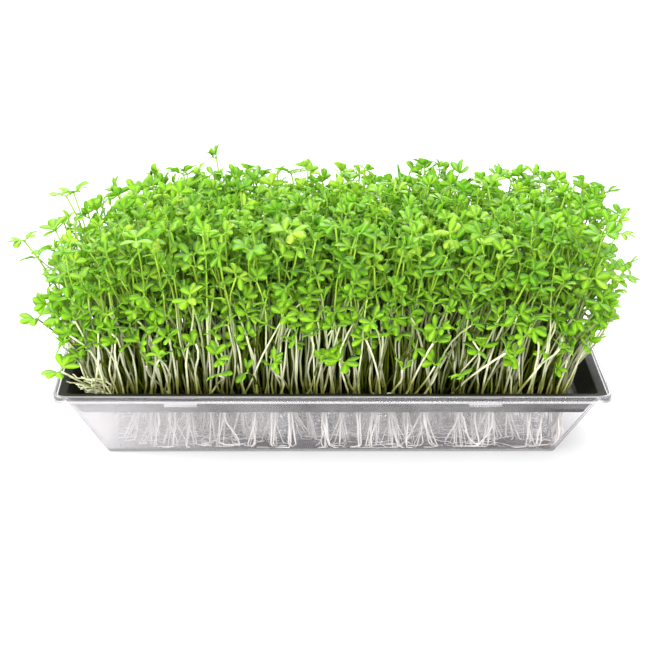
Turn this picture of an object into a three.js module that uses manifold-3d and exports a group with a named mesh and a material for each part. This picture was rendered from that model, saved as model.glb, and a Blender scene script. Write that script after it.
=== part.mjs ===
// A tray of garden cress grown as microgreens, in millimetres, with +Z up.
// The origin is the middle of the tub's underside. +X runs along the tray and -Y is its front.
// A clear tapered tub carries a black perforated insert on its ledge. A layer of seed hulls and
// root felt lies on the insert's floor. The seedlings grow in tufts: each tuft has a foot in one
// hole of that layer and of the insert, stems and leaves above it, and roots that hang in the tub.
import * as THREE from "three";
import { mergeVertices } from "three/addons/utils/BufferGeometryUtils.js";
import Module from "manifold-3d";

const wasm = await Module();
wasm.setup();

// Outline of the tub's rim, from which every other outline of the tray is inset
const RIM_LENGTH = 270;
const RIM_WIDTH = 111;
const RIM_CORNER_RADIUS = 7;
const CORNER_SHRINK = 0.13; // the corner radius loses this much for each millimetre of inset
const CORNER_STEPS = 3;

// Clear tub
const TUB_HEIGHT = 37;
const TUB_FLOOR = 1;
const TUB_WALL = 0.85; // measured level, across the leaning wall
const BASE_INSET = 24.4;
const BASE_CHAMFER = 1.1;
const WALL_TOP_INSET = 5.2;
const LEDGE_TOP = 35.2;
const LEDGE_THICKNESS = 1;
const BEAD_WIDTH = 2.2;
const BEAD_ROUND = 0.4;
const SKIRT_THICKNESS = 1;
const SKIRT_FOOT = 33.1;
const SKIRT_GROOVE_DEPTH = 0.4;
const SKIRT_GROOVE_LOW = 34.9;
const SKIRT_GROOVE_HIGH = 35.8;
const TAB_LENGTH = 16;
const TAB_THICKNESS = 1.3;
const TAB_PROUD = 0.5;
const TAB_FOOT = 31.8;
const TAB_TOP = 36.8;
const TAB_FROM_MIDDLE = 73.3;

// Black insert
const FIT_GAP = 0.3;
const INSERT_WALL = 0.75;
const INSERT_DEPTH = 11.8;
const INSERT_FLANGE = 0.8;
const INSERT_FLOOR = 0.8;
const INSERT_WALL_TOP_INSET = 6.15;
const INSERT_BASE_INSET = 12;
const INSERT_CHAMFER = 0.8;

// Layer of seed hulls and root felt on the insert's floor
const MAT_THICKNESS = 2.4;
const MAT_EDGE_GAP = 1.2;
const MAT_BEVEL = 1.5;

// Feet of the tufts, on a grid of the insert's holes
const TUFT_COLUMNS = 10;
const TUFT_ROWS = 4;
const TUFT_PITCH_X = 24.8;
const TUFT_PITCH_Y = 22.6;
const FOOT_RADIUS = 2.6;
const FOOT_SIDES = 6;
const FOOT_ABOVE_MAT = 0.5;
const FOOT_BELOW_INSERT = 1.1;
const HOLE_CLEARANCE = 0.35;

// Seedlings
const SEEDLINGS_AT_EDGE = 3;
const SEEDLINGS_INSIDE = 2;
const STEM_RADIUS = 0.68;
const STEM_TOP_RADIUS = 0.55;
const STEM_SIDES = 3;
const STEM_STATIONS = [0, 0.5, 1];
const STEM_SUNK = 1.2;
const STEM_RING_RADIUS = 1.3; // stems leave the foot on this circle
const STEM_RING_PLACES = 5;
const STEM_RING_TURN = 0.4;
const KNEE_SIDEWAYS = 0.34; // the stem's control point, as shares of its way out and up
const KNEE_UPWARDS = 0.55;
const STEM_BOW = 5;
const NECK_BELOW_HUB = 1.1;
const LEAN_X_OVER = 420; // a rosette leans outwards by its distance from the middle over this
const LEAN_Y_OVER = 170;
const LEAN_SCATTER = 0.22;
const SMALLEST_SCALE = 0.9;
const SCALE_RANGE = 0.22;
const HUB_RADIUS = 1.15;
const BLADE_THICKNESS = 0.7;
const LOBE_REACH = 10; // from the middle of the rosette to a lobe's tip
const LOBE_WIDEST_AT = 6;
const LOBE_HALF_WIDTH = 1.95;
const LOBE_RISE = 1.7;
const LOBE_TIP_RISE = 1.3;
// A rosette is a pair of seed leaves with three lobes each.
const LOBE_ANGLES = [-48, 0, 48, 132, 180, 228];
const HUB_ANGLES = [-24, 24, 90, 156, 204, 270];

// Canopy: the rosettes stand in three storeys that spread wider with height.
const STOREYS = [
  { height: 112, scatter: 6 },
  { height: 95, scatter: 7 },
  { height: 78, scatter: 8 },
];
const CANOPY_HALF_LENGTH = 122; // at the height of the seed layer
const CANOPY_HALF_WIDTH = 42;
const CANOPY_FLARE_X = 0.19;
const CANOPY_FLARE_Y = 0.26;
const ROSETTE_MARGIN = 9;
const SCATTER_X = 9;
const SCATTER_Y = 10;
// Seedlings that reach past the rest, as the x, y and height of their rosettes
const OUTLYING_ROSETTES = [
  [-151, -6, 101],
  [-147, 16, 86],
  [-144, -22, 66],
  [143, 8, 101],
  [143, -16, 87],
  [131, 22, 64],
  [-75, 42, 123],
  [-20, 30, 126],
  [46, 40, 127],
  [78, 12, 124],
  [112, 38, 118],
  [-68, -67, 90],
  [66, -66, 92],
  [20, 67, 94],
];
// Short seedlings that stayed low between the stems at the front
const LOW_ROSETTES = [
  [-131, -49, 48],
  [4, -51, 53],
  [70, -50, 59],
];
// A stem's foot stands this share of its rosette's distance from the middle.
const LEAN_BACK_X = 0.8;
const LEAN_BACK_Y = 0.6;
const PLACING_TRIES = 60;
const SPARE_ROOM = 0.35;
const STEM_BALL_RADIUS = 0.9;
const LOBE_BALLS = [
  { reach: 3.6, radius: 1.7 },
  { reach: 6, radius: 2.15 },
  { reach: 8.4, radius: 1.6 },
];

// Roots
const ROOTS_PER_TUFT = 3;
const ROOT_RADIUS = 0.62;
const ROOT_TIP_CLEARANCE = 1.4;
const ROOT_TIP_SCATTER = 1.5;
const ROOT_SPREAD_X = 8;
const ROOT_SPREAD_Y = 4.5;
const ROOT_TURN_SCATTER = 0.5;
const ROOT_SUNK = 1;
const ROOT_START = 0.16; // where a root leaves the foot, as a share of its spread
const ROOT_BOW = 0.22;
const ROOT_PULL_X = 0.87; // the tub narrows downwards, so the roots draw towards its middle
const ROOT_PULL_Y = 0.6;

const SEED = 4711;

// A repeatable draw of numbers from 0 to 1.
function makeDraw(seed) {
  let state = seed;
  return () => {
    state = (Math.imul(state, 1664525) + 1013904223) >>> 0;
    return state / 4294967296;
  };
}

const draw = makeDraw(SEED);
const scatter = (reach) => (draw() * 2 - 1) * reach;

// A closed solid from a geometry, with its shared corners merged.
function toSolid(geometry) {
  const bare = new THREE.BufferGeometry();
  bare.setAttribute("position", geometry.getAttribute("position"));
  bare.setIndex(geometry.getIndex());
  const merged = mergeVertices(bare, 1e-4);
  return new wasm.Manifold(
    new wasm.Mesh({
      numProp: 3,
      vertProperties: merged.getAttribute("position").array,
      triVerts: merged.getIndex().array,
    }),
  );
}

function toGeometry(solid) {
  const mesh = solid.getMesh();
  const geometry = new THREE.BufferGeometry();
  geometry.setAttribute("position", new THREE.BufferAttribute(mesh.vertProperties, 3));
  geometry.setIndex(new THREE.BufferAttribute(mesh.triVerts, 1));
  geometry.computeVertexNormals();
  return geometry;
}

function geometryFrom(points, triangles) {
  const geometry = new THREE.BufferGeometry();
  const numbers = points.flatMap((p) => [p.x, p.y, p.z]);
  geometry.setAttribute("position", new THREE.Float32BufferAttribute(numbers, 3));
  geometry.setIndex(triangles.flat());
  return geometry;
}

// The corners of a level rounded rectangle, inset from the rim's outline.
function outlineRing(inset, z) {
  const radius = RIM_CORNER_RADIUS - CORNER_SHRINK * inset;
  const halfX = RIM_LENGTH / 2 - inset - radius;
  const halfY = RIM_WIDTH / 2 - inset - radius;
  const ring = [];
  for (let corner = 0; corner < 4; corner++) {
    const sideX = corner === 0 || corner === 3 ? 1 : -1;
    const sideY = corner < 2 ? 1 : -1;
    for (let step = 0; step <= CORNER_STEPS; step++) {
      const angle = ((corner + step / CORNER_STEPS) * Math.PI) / 2;
      const x = sideX * halfX + radius * Math.cos(angle);
      const y = sideY * halfY + radius * Math.sin(angle);
      ring.push(new THREE.Vector3(x, y, z));
    }
  }
  return ring;
}

// A closed shell around a profile of [inset, height] points, which starts at the middle of the
// underside, runs up the outside and down the inside, and ends on the floor.
function shellFrom(profile) {
  const rings = profile.map(([inset, z]) => outlineRing(inset, z));
  const count = rings[0].length;
  const triangles = [];
  for (let ring = 0; ring + 1 < rings.length; ring++) {
    for (let i = 0; i < count; i++) {
      const next = (i + 1) % count;
      const low = ring * count;
      const high = low + count;
      triangles.push([low + i, low + next, high + next], [low + i, high + next, high + i]);
    }
  }
  const last = (rings.length - 1) * count;
  for (let i = 1; i + 1 < count; i++) {
    triangles.push([0, i + 1, i], [last, last + i, last + i + 1]);
  }
  return toSolid(geometryFrom(rings.flat(), triangles));
}

function boxBetween(low, high) {
  const size = new THREE.Vector3().subVectors(high, low);
  const middle = new THREE.Vector3().addVectors(low, high).multiplyScalar(0.5);
  const box = new THREE.BoxGeometry(size.x, size.y, size.z);
  return toSolid(box.translate(middle.x, middle.y, middle.z));
}

// An upright prism on the foot's place, for the foot and for the hole around it.
function uprightPrism(place, radius, bottom, top) {
  const prism = new THREE.CylinderGeometry(radius, radius, top - bottom, FOOT_SIDES);
  prism.rotateX(Math.PI / 2);
  return toSolid(prism.translate(place.x, place.y, (bottom + top) / 2));
}

// The tub: leaning walls, a ledge for the insert, a bead round it and a skirt that hangs from it.
function makeTub() {
  const ledgeBottom = LEDGE_TOP - LEDGE_THICKNESS;
  let tub = shellFrom([
    [BASE_INSET + BASE_CHAMFER, 0],
    [BASE_INSET, BASE_CHAMFER],
    [WALL_TOP_INSET, ledgeBottom],
    [SKIRT_THICKNESS, ledgeBottom],
    [SKIRT_THICKNESS, SKIRT_FOOT],
    [0, SKIRT_FOOT],
    [0, SKIRT_GROOVE_LOW - SKIRT_GROOVE_DEPTH],
    [SKIRT_GROOVE_DEPTH, SKIRT_GROOVE_LOW],
    [SKIRT_GROOVE_DEPTH, SKIRT_GROOVE_HIGH],
    [0, SKIRT_GROOVE_HIGH + SKIRT_GROOVE_DEPTH],
    [BEAD_ROUND, TUB_HEIGHT],
    [BEAD_WIDTH - BEAD_ROUND, TUB_HEIGHT],
    [BEAD_WIDTH, TUB_HEIGHT - BEAD_ROUND],
    [BEAD_WIDTH, LEDGE_TOP],
    [WALL_TOP_INSET + TUB_WALL / 2, LEDGE_TOP],
    [WALL_TOP_INSET + TUB_WALL, ledgeBottom],
    [BASE_INSET + TUB_WALL, TUB_FLOOR],
  ]);
  const rimY = RIM_WIDTH / 2;
  for (const side of [-1, 1]) {
    for (const x of [-TAB_FROM_MIDDLE, TAB_FROM_MIDDLE]) {
      const inner = side * (rimY + TAB_PROUD - TAB_THICKNESS);
      const outer = side * (rimY + TAB_PROUD);
      const low = new THREE.Vector3(x - TAB_LENGTH / 2, Math.min(inner, outer), TAB_FOOT);
      const high = new THREE.Vector3(x + TAB_LENGTH / 2, Math.max(inner, outer), TAB_TOP);
      tub = tub.add(boxBetween(low, high));
    }
  }
  return tub;
}

const FLANGE_BOTTOM = LEDGE_TOP + FIT_GAP;
const FLANGE_TOP = FLANGE_BOTTOM + INSERT_FLANGE;
const INSERT_BOTTOM = FLANGE_TOP - INSERT_DEPTH;
const INSERT_FLOOR_TOP = INSERT_BOTTOM + INSERT_FLOOR;
const MAT_BOTTOM = INSERT_FLOOR_TOP + FIT_GAP;
const MAT_TOP = MAT_BOTTOM + MAT_THICKNESS;
const FOOT_BOTTOM = INSERT_BOTTOM - FOOT_BELOW_INSERT;
const FOOT_TOP = MAT_TOP + FOOT_ABOVE_MAT;

// The insert: a flange on the tub's ledge, sloped walls and a floor with a hole for each tuft.
function makeInsert(feet) {
  const flangeEdge = BEAD_WIDTH + FIT_GAP;
  let insert = shellFrom([
    [INSERT_BASE_INSET + INSERT_CHAMFER, INSERT_BOTTOM],
    [INSERT_BASE_INSET, INSERT_BOTTOM + INSERT_CHAMFER],
    [INSERT_WALL_TOP_INSET, FLANGE_BOTTOM],
    [flangeEdge, FLANGE_BOTTOM],
    [flangeEdge, FLANGE_TOP],
    [INSERT_WALL_TOP_INSET + INSERT_WALL, FLANGE_TOP],
    [INSERT_BASE_INSET + INSERT_WALL, INSERT_FLOOR_TOP],
  ]);
  for (const foot of feet) {
    const radius = FOOT_RADIUS + HOLE_CLEARANCE;
    insert = insert.subtract(uprightPrism(foot, radius, FOOT_BOTTOM, FOOT_TOP));
  }
  return insert;
}

// The seed layer: a thin slab on the insert's floor, with a plain hole for each tuft.
function makeSeedMat(feet) {
  const edge = INSERT_BASE_INSET + INSERT_WALL + MAT_EDGE_GAP;
  let mat = shellFrom([
    [edge, MAT_BOTTOM],
    [edge, MAT_BOTTOM + MAT_THICKNESS / 2],
    [edge + MAT_BEVEL, MAT_TOP],
  ]);
  for (const foot of feet) {
    const radius = FOOT_RADIUS + HOLE_CLEARANCE;
    mat = mat.subtract(uprightPrism(foot, radius, FOOT_BOTTOM, FOOT_TOP));
  }
  return mat;
}

// Feet stand on a grid, row after row from the front.
function placeFeet() {
  const feet = [];
  for (let row = 0; row < TUFT_ROWS; row++) {
    for (let column = 0; column < TUFT_COLUMNS; column++) {
      const x = (column - (TUFT_COLUMNS - 1) / 2) * TUFT_PITCH_X;
      const y = (row - (TUFT_ROWS - 1) / 2) * TUFT_PITCH_Y;
      const atSide = column === 0 || column === TUFT_COLUMNS - 1;
      const atEdge = atSide || row === 0 || row === TUFT_ROWS - 1;
      feet.push({ x, y, atEdge, seedlings: [] });
    }
  }
  return feet;
}

// Where a stem leaves its foot: the stems of a tuft share a small circle.
function stemBase(foot, slot) {
  const angle = (slot / STEM_RING_PLACES) * 2 * Math.PI + STEM_RING_TURN;
  const x = foot.x + STEM_RING_RADIUS * Math.cos(angle);
  const y = foot.y + STEM_RING_RADIUS * Math.sin(angle);
  return new THREE.Vector3(x, y, FOOT_TOP - STEM_SUNK);
}

// The stem's curve rises steeply and leans out to its rosette, with a slight bow.
function stemCurve(base, head, bowX, bowY) {
  const knee = new THREE.Vector3().lerpVectors(base, head, KNEE_SIDEWAYS);
  knee.z = THREE.MathUtils.lerp(base.z, head.z, KNEE_UPWARDS);
  knee.x += bowX;
  knee.y += bowY;
  return new THREE.QuadraticBezierCurve3(base, knee, head);
}

// A seedling's plan: its stem's curve, and the frame of its rosette, which faces up and outwards.
function planSeedling(base, head) {
  const curve = stemCurve(base, head, scatter(STEM_BOW), scatter(STEM_BOW));
  const leanX = head.x / LEAN_X_OVER + scatter(LEAN_SCATTER);
  const leanY = head.y / LEAN_Y_OVER + scatter(LEAN_SCATTER);
  const up = new THREE.Vector3(leanX, leanY, 1).normalize();
  const yaw = draw() * Math.PI;
  const along = new THREE.Vector3(Math.cos(yaw), Math.sin(yaw), 0);
  const across = new THREE.Vector3().crossVectors(up, along).normalize();
  along.crossVectors(across, up);
  const scale = SMALLEST_SCALE + draw() * SCALE_RANGE;
  return { curve, head, up, along, across, scale };
}

// A point of the rosette, from its reach along an angle, its sideways offset and its rise.
function rosettePoint(plan, angle, reach, sideways, rise) {
  const turn = THREE.MathUtils.degToRad(angle);
  const x = reach * Math.cos(turn) - sideways * Math.sin(turn);
  const y = reach * Math.sin(turn) + sideways * Math.cos(turn);
  return plan.head
    .clone()
    .addScaledVector(plan.along, x * plan.scale)
    .addScaledVector(plan.across, y * plan.scale)
    .addScaledVector(plan.up, rise * plan.scale);
}

// Balls that cover a seedling, to test whether it has room.
function coveringBalls(plan, foot) {
  const balls = [];
  const count = Math.ceil(plan.curve.getLength() / (2 * STEM_RADIUS));
  for (let i = 0; i <= count; i++) {
    const centre = plan.curve.getPoint(i / count);
    balls.push({ centre, radius: STEM_BALL_RADIUS, stemOf: foot });
  }
  for (const angle of LOBE_ANGLES) {
    for (const { reach, radius } of LOBE_BALLS) {
      const rise = Math.min(reach / LOBE_WIDEST_AT, 1) * LOBE_RISE;
      const centre = rosettePoint(plan, angle, reach, 0, rise);
      balls.push({ centre, radius: radius * plan.scale });
    }
  }
  return balls;
}

// Stems of one tuft may touch, because they are fused. Everything else keeps clear.
function hasRoom(balls, grown) {
  return balls.every((ball) =>
    grown.every((other) => {
      if (ball.stemOf && ball.stemOf === other.stemOf) return true;
      const reach = ball.radius + other.radius + SPARE_ROOM;
      return ball.centre.distanceToSquared(other.centre) > reach * reach;
    }),
  );
}

// A rosette's place above its foot, in one of the storeys.
function drawHead(foot, storey) {
  const z = storey.height + scatter(storey.scatter);
  const halfX = CANOPY_HALF_LENGTH + (z - MAT_TOP) * CANOPY_FLARE_X - ROSETTE_MARGIN;
  const halfY = CANOPY_HALF_WIDTH + (z - MAT_TOP) * CANOPY_FLARE_Y - ROSETTE_MARGIN;
  const footHalfX = ((TUFT_COLUMNS - 1) / 2) * TUFT_PITCH_X;
  const footHalfY = ((TUFT_ROWS - 1) / 2) * TUFT_PITCH_Y;
  const x = (foot.x / footHalfX) * halfX + scatter(SCATTER_X);
  const y = (foot.y / footHalfY) * halfY + scatter(SCATTER_Y);
  return new THREE.Vector3(x, y, z);
}

function growIfRoom(foot, head, grown) {
  const plan = planSeedling(stemBase(foot, foot.seedlings.length), head);
  const balls = coveringBalls(plan, foot);
  if (!hasRoom(balls, grown)) return false;
  foot.seedlings.push(plan);
  grown.push(...balls);
  return true;
}

// The named seedlings grow first, each from the foot nearest to its rosette, then the storeys.
function growSeedlings(feet) {
  const grown = [];
  for (const [x, y, z] of [...OUTLYING_ROSETTES, ...LOW_ROSETTES]) {
    const away = (foot) => Math.hypot(foot.x - x * LEAN_BACK_X, foot.y - y * LEAN_BACK_Y);
    const nearest = feet.reduce((best, foot) => (away(foot) < away(best) ? foot : best));
    let placed = false;
    for (let tries = 0; tries < PLACING_TRIES && !placed; tries++) {
      placed = growIfRoom(nearest, new THREE.Vector3(x, y, z), grown);
    }
  }
  for (const storey of STOREYS) {
    for (const foot of feet) {
      const most = foot.atEdge ? SEEDLINGS_AT_EDGE : SEEDLINGS_INSIDE;
      let placed = foot.seedlings.length >= most;
      for (let tries = 0; tries < PLACING_TRIES && !placed; tries++) {
        placed = growIfRoom(foot, drawHead(foot, storey), grown);
      }
    }
  }
}

// Triangles between two rings of corners with as many corners each.
function joinRings(first, second, triangles) {
  const count = first.length;
  for (let i = 0; i < count; i++) {
    const next = (i + 1) % count;
    triangles.push([first[i], first[next], second[next]], [first[i], second[next], second[i]]);
  }
}

// A seedling as one closed skin: a slim stem, a hub, and a lobe grown out of each side of the hub.
function seedlingSolid(plan) {
  const points = [];
  const triangles = [];
  const corner = (point) => points.push(point) - 1;

  const stemRings = STEM_STATIONS.map((station) => {
    const middle = plan.curve.getPoint(station);
    const radius = THREE.MathUtils.lerp(STEM_RADIUS, STEM_TOP_RADIUS, station);
    if (station === 1) middle.addScaledVector(plan.up, -NECK_BELOW_HUB);
    return Array.from({ length: STEM_SIDES }, (_, i) => {
      const angle = (i / STEM_SIDES) * 2 * Math.PI;
      const spot = middle.clone();
      spot.addScaledVector(plan.along, radius * Math.cos(angle));
      return corner(spot.addScaledVector(plan.across, radius * Math.sin(angle)));
    });
  });
  triangles.push([...stemRings[0]].reverse());
  for (let i = 0; i + 1 < stemRings.length; i++) {
    joinRings(stemRings[i], stemRings[i + 1], triangles);
  }

  const half = BLADE_THICKNESS / 2;
  const under = HUB_ANGLES.map((angle) => corner(rosettePoint(plan, angle, HUB_RADIUS, 0, -half)));
  const over = HUB_ANGLES.map((angle) => corner(rosettePoint(plan, angle, HUB_RADIUS, 0, half)));
  const neck = stemRings[stemRings.length - 1];
  for (let i = 0; i < STEM_SIDES; i++) {
    const next = (i + 1) % STEM_SIDES;
    const first = under[2 * i];
    const second = under[2 * i + 1];
    const third = under[(2 * i + 2) % under.length];
    triangles.push([neck[i], second, first], [neck[i], neck[next], second]);
    triangles.push([neck[next], third, second]);
  }
  for (let i = 1; i + 1 < over.length; i++) triangles.push([over[0], over[i], over[i + 1]]);

  LOBE_ANGLES.forEach((angle, lobe) => {
    const start = (lobe + HUB_ANGLES.length - 1) % HUB_ANGLES.length;
    const root = [under[start], under[lobe], over[lobe], over[start]];
    const middle = [
      [-1, -half],
      [1, -half],
      [1, half],
      [-1, half],
    ].map(([side, lift]) => {
      const sideways = side * LOBE_HALF_WIDTH;
      return corner(rosettePoint(plan, angle, LOBE_WIDEST_AT, sideways, LOBE_RISE + lift));
    });
    joinRings(root, middle, triangles);
    const tip = corner(rosettePoint(plan, angle, LOBE_REACH, 0, LOBE_TIP_RISE));
    for (let i = 0; i < middle.length; i++) {
      triangles.push([middle[i], middle[(i + 1) % middle.length], tip]);
    }
  });
  return toSolid(geometryFrom(points, triangles));
}

// A root: a slim strand from the foot down to just above the tub's floor.
function rootSolid(foot, slot) {
  const angle = (slot / ROOTS_PER_TUFT) * 2 * Math.PI + scatter(ROOT_TURN_SCATTER);
  const lean = new THREE.Vector3(Math.cos(angle) * ROOT_SPREAD_X, Math.sin(angle) * ROOT_SPREAD_Y, 0);
  const tipZ = TUB_FLOOR + ROOT_TIP_CLEARANCE + draw() * ROOT_TIP_SCATTER;
  const top = new THREE.Vector3(foot.x, foot.y, FOOT_BOTTOM + ROOT_SUNK);
  top.addScaledVector(lean, ROOT_START);
  const tip = new THREE.Vector3(foot.x * ROOT_PULL_X, foot.y * ROOT_PULL_Y, tipZ).add(lean);
  const bend = new THREE.Vector3().lerpVectors(top, tip, 0.5).addScaledVector(lean, -ROOT_BOW);
  const points = [];
  const triangles = [];
  const rings = [top, bend].map((middle) =>
    Array.from({ length: STEM_SIDES }, (_, i) => {
      const turn = (i / STEM_SIDES) * 2 * Math.PI;
      const x = middle.x + ROOT_RADIUS * Math.cos(turn);
      const y = middle.y + ROOT_RADIUS * Math.sin(turn);
      return points.push(new THREE.Vector3(x, y, middle.z)) - 1;
    }),
  );
  const last = points.push(tip) - 1;
  triangles.push([...rings[0]]);
  joinRings([...rings[0]].reverse(), [...rings[1]].reverse(), triangles);
  for (let i = 0; i < STEM_SIDES; i++) {
    triangles.push([rings[1][(i + 1) % STEM_SIDES], rings[1][i], last]);
  }
  return toSolid(geometryFrom(points, triangles));
}

// A tuft: the foot in its hole, with the seedlings and the roots fused to it.
function makeTuft(foot) {
  let tuft = uprightPrism(foot, FOOT_RADIUS, FOOT_BOTTOM, FOOT_TOP);
  for (const plan of foot.seedlings) tuft = tuft.add(seedlingSolid(plan));
  for (let slot = 0; slot < ROOTS_PER_TUFT; slot++) tuft = tuft.add(rootSolid(foot, slot));
  return tuft;
}

function namedMesh(name, solid, material) {
  const mesh = new THREE.Mesh(toGeometry(solid), material);
  mesh.name = name;
  return mesh;
}

const CLEAR_PLASTIC = { color: 0xe9e7ea, roughness: 0.12, metalness: 0, transparent: true, opacity: 0.35 };
const BLACK_PLASTIC = { color: 0x1d1c1b, roughness: 0.5, metalness: 0 };
const SEED_HULLS = { color: 0x3a2a1a, roughness: 0.9, metalness: 0 };
const CRESS = { color: 0x6dae1e, roughness: 0.55, metalness: 0 };

const feet = placeFeet();
growSeedlings(feet);

const group = new THREE.Group();
group.add(namedMesh("tub", makeTub(), new THREE.MeshStandardMaterial(CLEAR_PLASTIC)));
group.add(namedMesh("insert", makeInsert(feet), new THREE.MeshStandardMaterial(BLACK_PLASTIC)));
group.add(namedMesh("seed_mat", makeSeedMat(feet), new THREE.MeshStandardMaterial(SEED_HULLS)));
feet.forEach((foot, index) => {
  const name = `tuft_${String(index + 1).padStart(2, "0")}`;
  group.add(namedMesh(name, makeTuft(foot), new THREE.MeshStandardMaterial(CRESS)));
});

export default group;
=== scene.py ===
import math

import bpy
import numpy as np
from mathutils import Matrix, Vector


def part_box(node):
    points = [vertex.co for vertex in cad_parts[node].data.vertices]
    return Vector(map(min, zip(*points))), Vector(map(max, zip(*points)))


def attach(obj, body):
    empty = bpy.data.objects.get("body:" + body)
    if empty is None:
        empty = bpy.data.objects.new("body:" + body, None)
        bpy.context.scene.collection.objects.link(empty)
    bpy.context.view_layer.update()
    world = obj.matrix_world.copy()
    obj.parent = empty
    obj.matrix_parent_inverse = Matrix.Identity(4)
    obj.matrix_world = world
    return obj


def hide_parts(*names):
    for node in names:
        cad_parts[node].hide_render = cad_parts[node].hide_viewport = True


# A tray of garden cress microgreens. Lengths here are in millimetres, and mesh_piece turns them
# into metres. +X runs along the tray, -Y is its front and +Z is up.
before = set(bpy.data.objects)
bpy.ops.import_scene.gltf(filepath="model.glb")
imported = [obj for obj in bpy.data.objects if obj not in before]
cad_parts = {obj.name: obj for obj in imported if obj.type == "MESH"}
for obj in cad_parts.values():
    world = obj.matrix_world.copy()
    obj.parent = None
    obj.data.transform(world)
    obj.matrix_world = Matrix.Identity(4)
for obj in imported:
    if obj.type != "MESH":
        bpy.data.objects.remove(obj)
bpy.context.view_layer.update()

MM = 0.001

# The photo's camera, from the rim's and the base's corners
IMAGE_SIDE = 650
FOCAL_PIXELS = 2400
SENSOR_WIDTH = 36
CAMERA_PLACE = (-22.6, -1141.9, 418.7)
CAMERA_YAW = 0.975
CAMERA_PITCH = 17.64
CAMERA_ROLL = 0.31

# Shells of the tray, as insets from the rim's outline. They are the CAD's, but their corners have
# more steps and grow tighter towards the base than the CAD's do.
CORNER_RADIUS = 7
CORNER_SHRINK = 0.9
SMALLEST_CORNER = 2.2
CORNER_STEPS = 8
SHARP_ANGLE = 35
TUB_FLOOR = 1
TUB_WALL = 0.85
BASE_INSET = 24.4
BASE_ROUND = 0.6
WALL_TOP_INSET = 5.2
LEDGE_TOP = 35.2
LEDGE_THICKNESS = 1
BEAD_WIDTH = 2.2
SKIRT_THICKNESS = 1
SKIRT_FOOT = 33.1
TAB_LENGTH = 16
TAB_THICKNESS = 1.3
TAB_PROUD = 0.5
TAB_FOOT = 31.8
TAB_TOP = 36.8
TAB_FROM_MIDDLE = 73.3
FIT_GAP = 0.3
INSERT_WALL = 0.75
INSERT_FLANGE = 0.8
INSERT_FLOOR = 0.8
INSERT_WALL_TOP_INSET = 6.15
INSERT_BASE_INSET = 12

# Feet of the tufts
TUFT_COLUMNS = 10
TUFT_ROWS = 4
TUFT_PITCH_X = 24.8
TUFT_PITCH_Y = 22.6
FOOT_RADIUS = 2.6
STEM_SUNK = 1.2
STEM_RING_RADIUS = 1.3
STEM_RING_PLACES = 5
STEM_RING_TURN = 0.4

# The CAD's seedlings, drawn by the same rule from the same seed
SEEDLINGS_AT_EDGE = 3
SEEDLINGS_INSIDE = 2
STEM_RADIUS = 0.68
KNEE_SIDEWAYS = 0.34
KNEE_UPWARDS = 0.55
STEM_BOW = 5
LEAN_X_OVER = 420
LEAN_Y_OVER = 170
LEAN_SCATTER = 0.22
SMALLEST_SCALE = 0.9
SCALE_RANGE = 0.22
LOBE_REACH = 10
LOBE_WIDEST_AT = 6
LOBE_RISE = 1.7
LOBE_TIP_RISE = 1.3
LOBE_ANGLES = (-48, 0, 48, 132, 180, 228)
STOREYS = ((112, 6), (95, 7), (78, 8))
CANOPY_HALF_LENGTH = 122
CANOPY_HALF_WIDTH = 42
CANOPY_FLARE_X = 0.19
CANOPY_FLARE_Y = 0.26
ROSETTE_MARGIN = 9
SCATTER_X = 9
SCATTER_Y = 10
OUTLYING_ROSETTES = (
    (-151, -6, 101), (-147, 16, 86), (-144, -22, 66), (143, 8, 101), (143, -16, 87),
    (131, 22, 64), (-75, 42, 123), (-20, 30, 126), (46, 40, 127), (78, 12, 124),
    (112, 38, 118), (-68, -67, 90), (66, -66, 92), (20, 67, 94),
)
LOW_ROSETTES = ((-131, -49, 48), (4, -51, 53), (70, -50, 59))
LEAN_BACK_X = 0.8
LEAN_BACK_Y = 0.6
PLACING_TRIES = 60
SPARE_ROOM = 0.35
STEM_BALL_RADIUS = 0.9
LOBE_BALLS = ((3.6, 1.7), (6, 2.15), (8.4, 1.6))
SEED = 4711

# Seedlings that fill the stand between those of the CAD
FILL_COLUMNS = 72
FILL_ROWS = 25
FILL_LEFT = -117
FILL_RIGHT = 114
FILL_HALF_WIDTH = 37
FILL_FOOT_SCATTER = 2.2
FILL_CHOICES = 12
FILL_SEED = 19

# Where their heads are: reach and flare of the canopy, its top, and how far heads sink below it
FILL_REACH_X = 133
FILL_REACH_Y = 57
FILL_REACH_LEVEL = 100
FILL_FLARE = 0.12
FILL_TOP = 119
FILL_LOWEST = 59
FILL_LOWEST_SPREAD = 22
SUNK_INSIDE = 12
SUNK_AT_EDGE = 48
LEFT_FALL, LEFT_FALL_FROM, LEFT_FALL_OVER = 26, 0.62, 0.38
RIGHT_FALL, RIGHT_FALL_FROM, RIGHT_FALL_OVER = 16, 0.72, 0.28
EDGE_LEFT, EDGE_RIGHT = 1.1, 0.8
SPRIG_SHARE = 0.06
SPRIG_RISE = 6
STRAY_SHARE = 0.012
STRAY_EDGE = 0.55
STRAY_HEIGHTS = (46, 64)
HEAD_SCATTER_X = 8
HEAD_SCATTER_Y = 6
RAGGED_EDGE = (-1, 8)
OUTWARD_FROM = 0.35
OUTWARD_SINK = 42

# Their stems' knees, and how their heads lean
FILL_KNEE_SIDEWAYS = (0.2, 0.5)
FILL_KNEE_UPWARDS = (0.4, 0.65)
CROOKED_SHARE = 0.12
CROOKED_BOW = 9
FILL_BOW = 2.6
FILL_LEAN_OVER = (230, 125)
FILL_LEAN_SCATTER = 0.4
FILL_SCALES = (0.65, 0.88)

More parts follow.
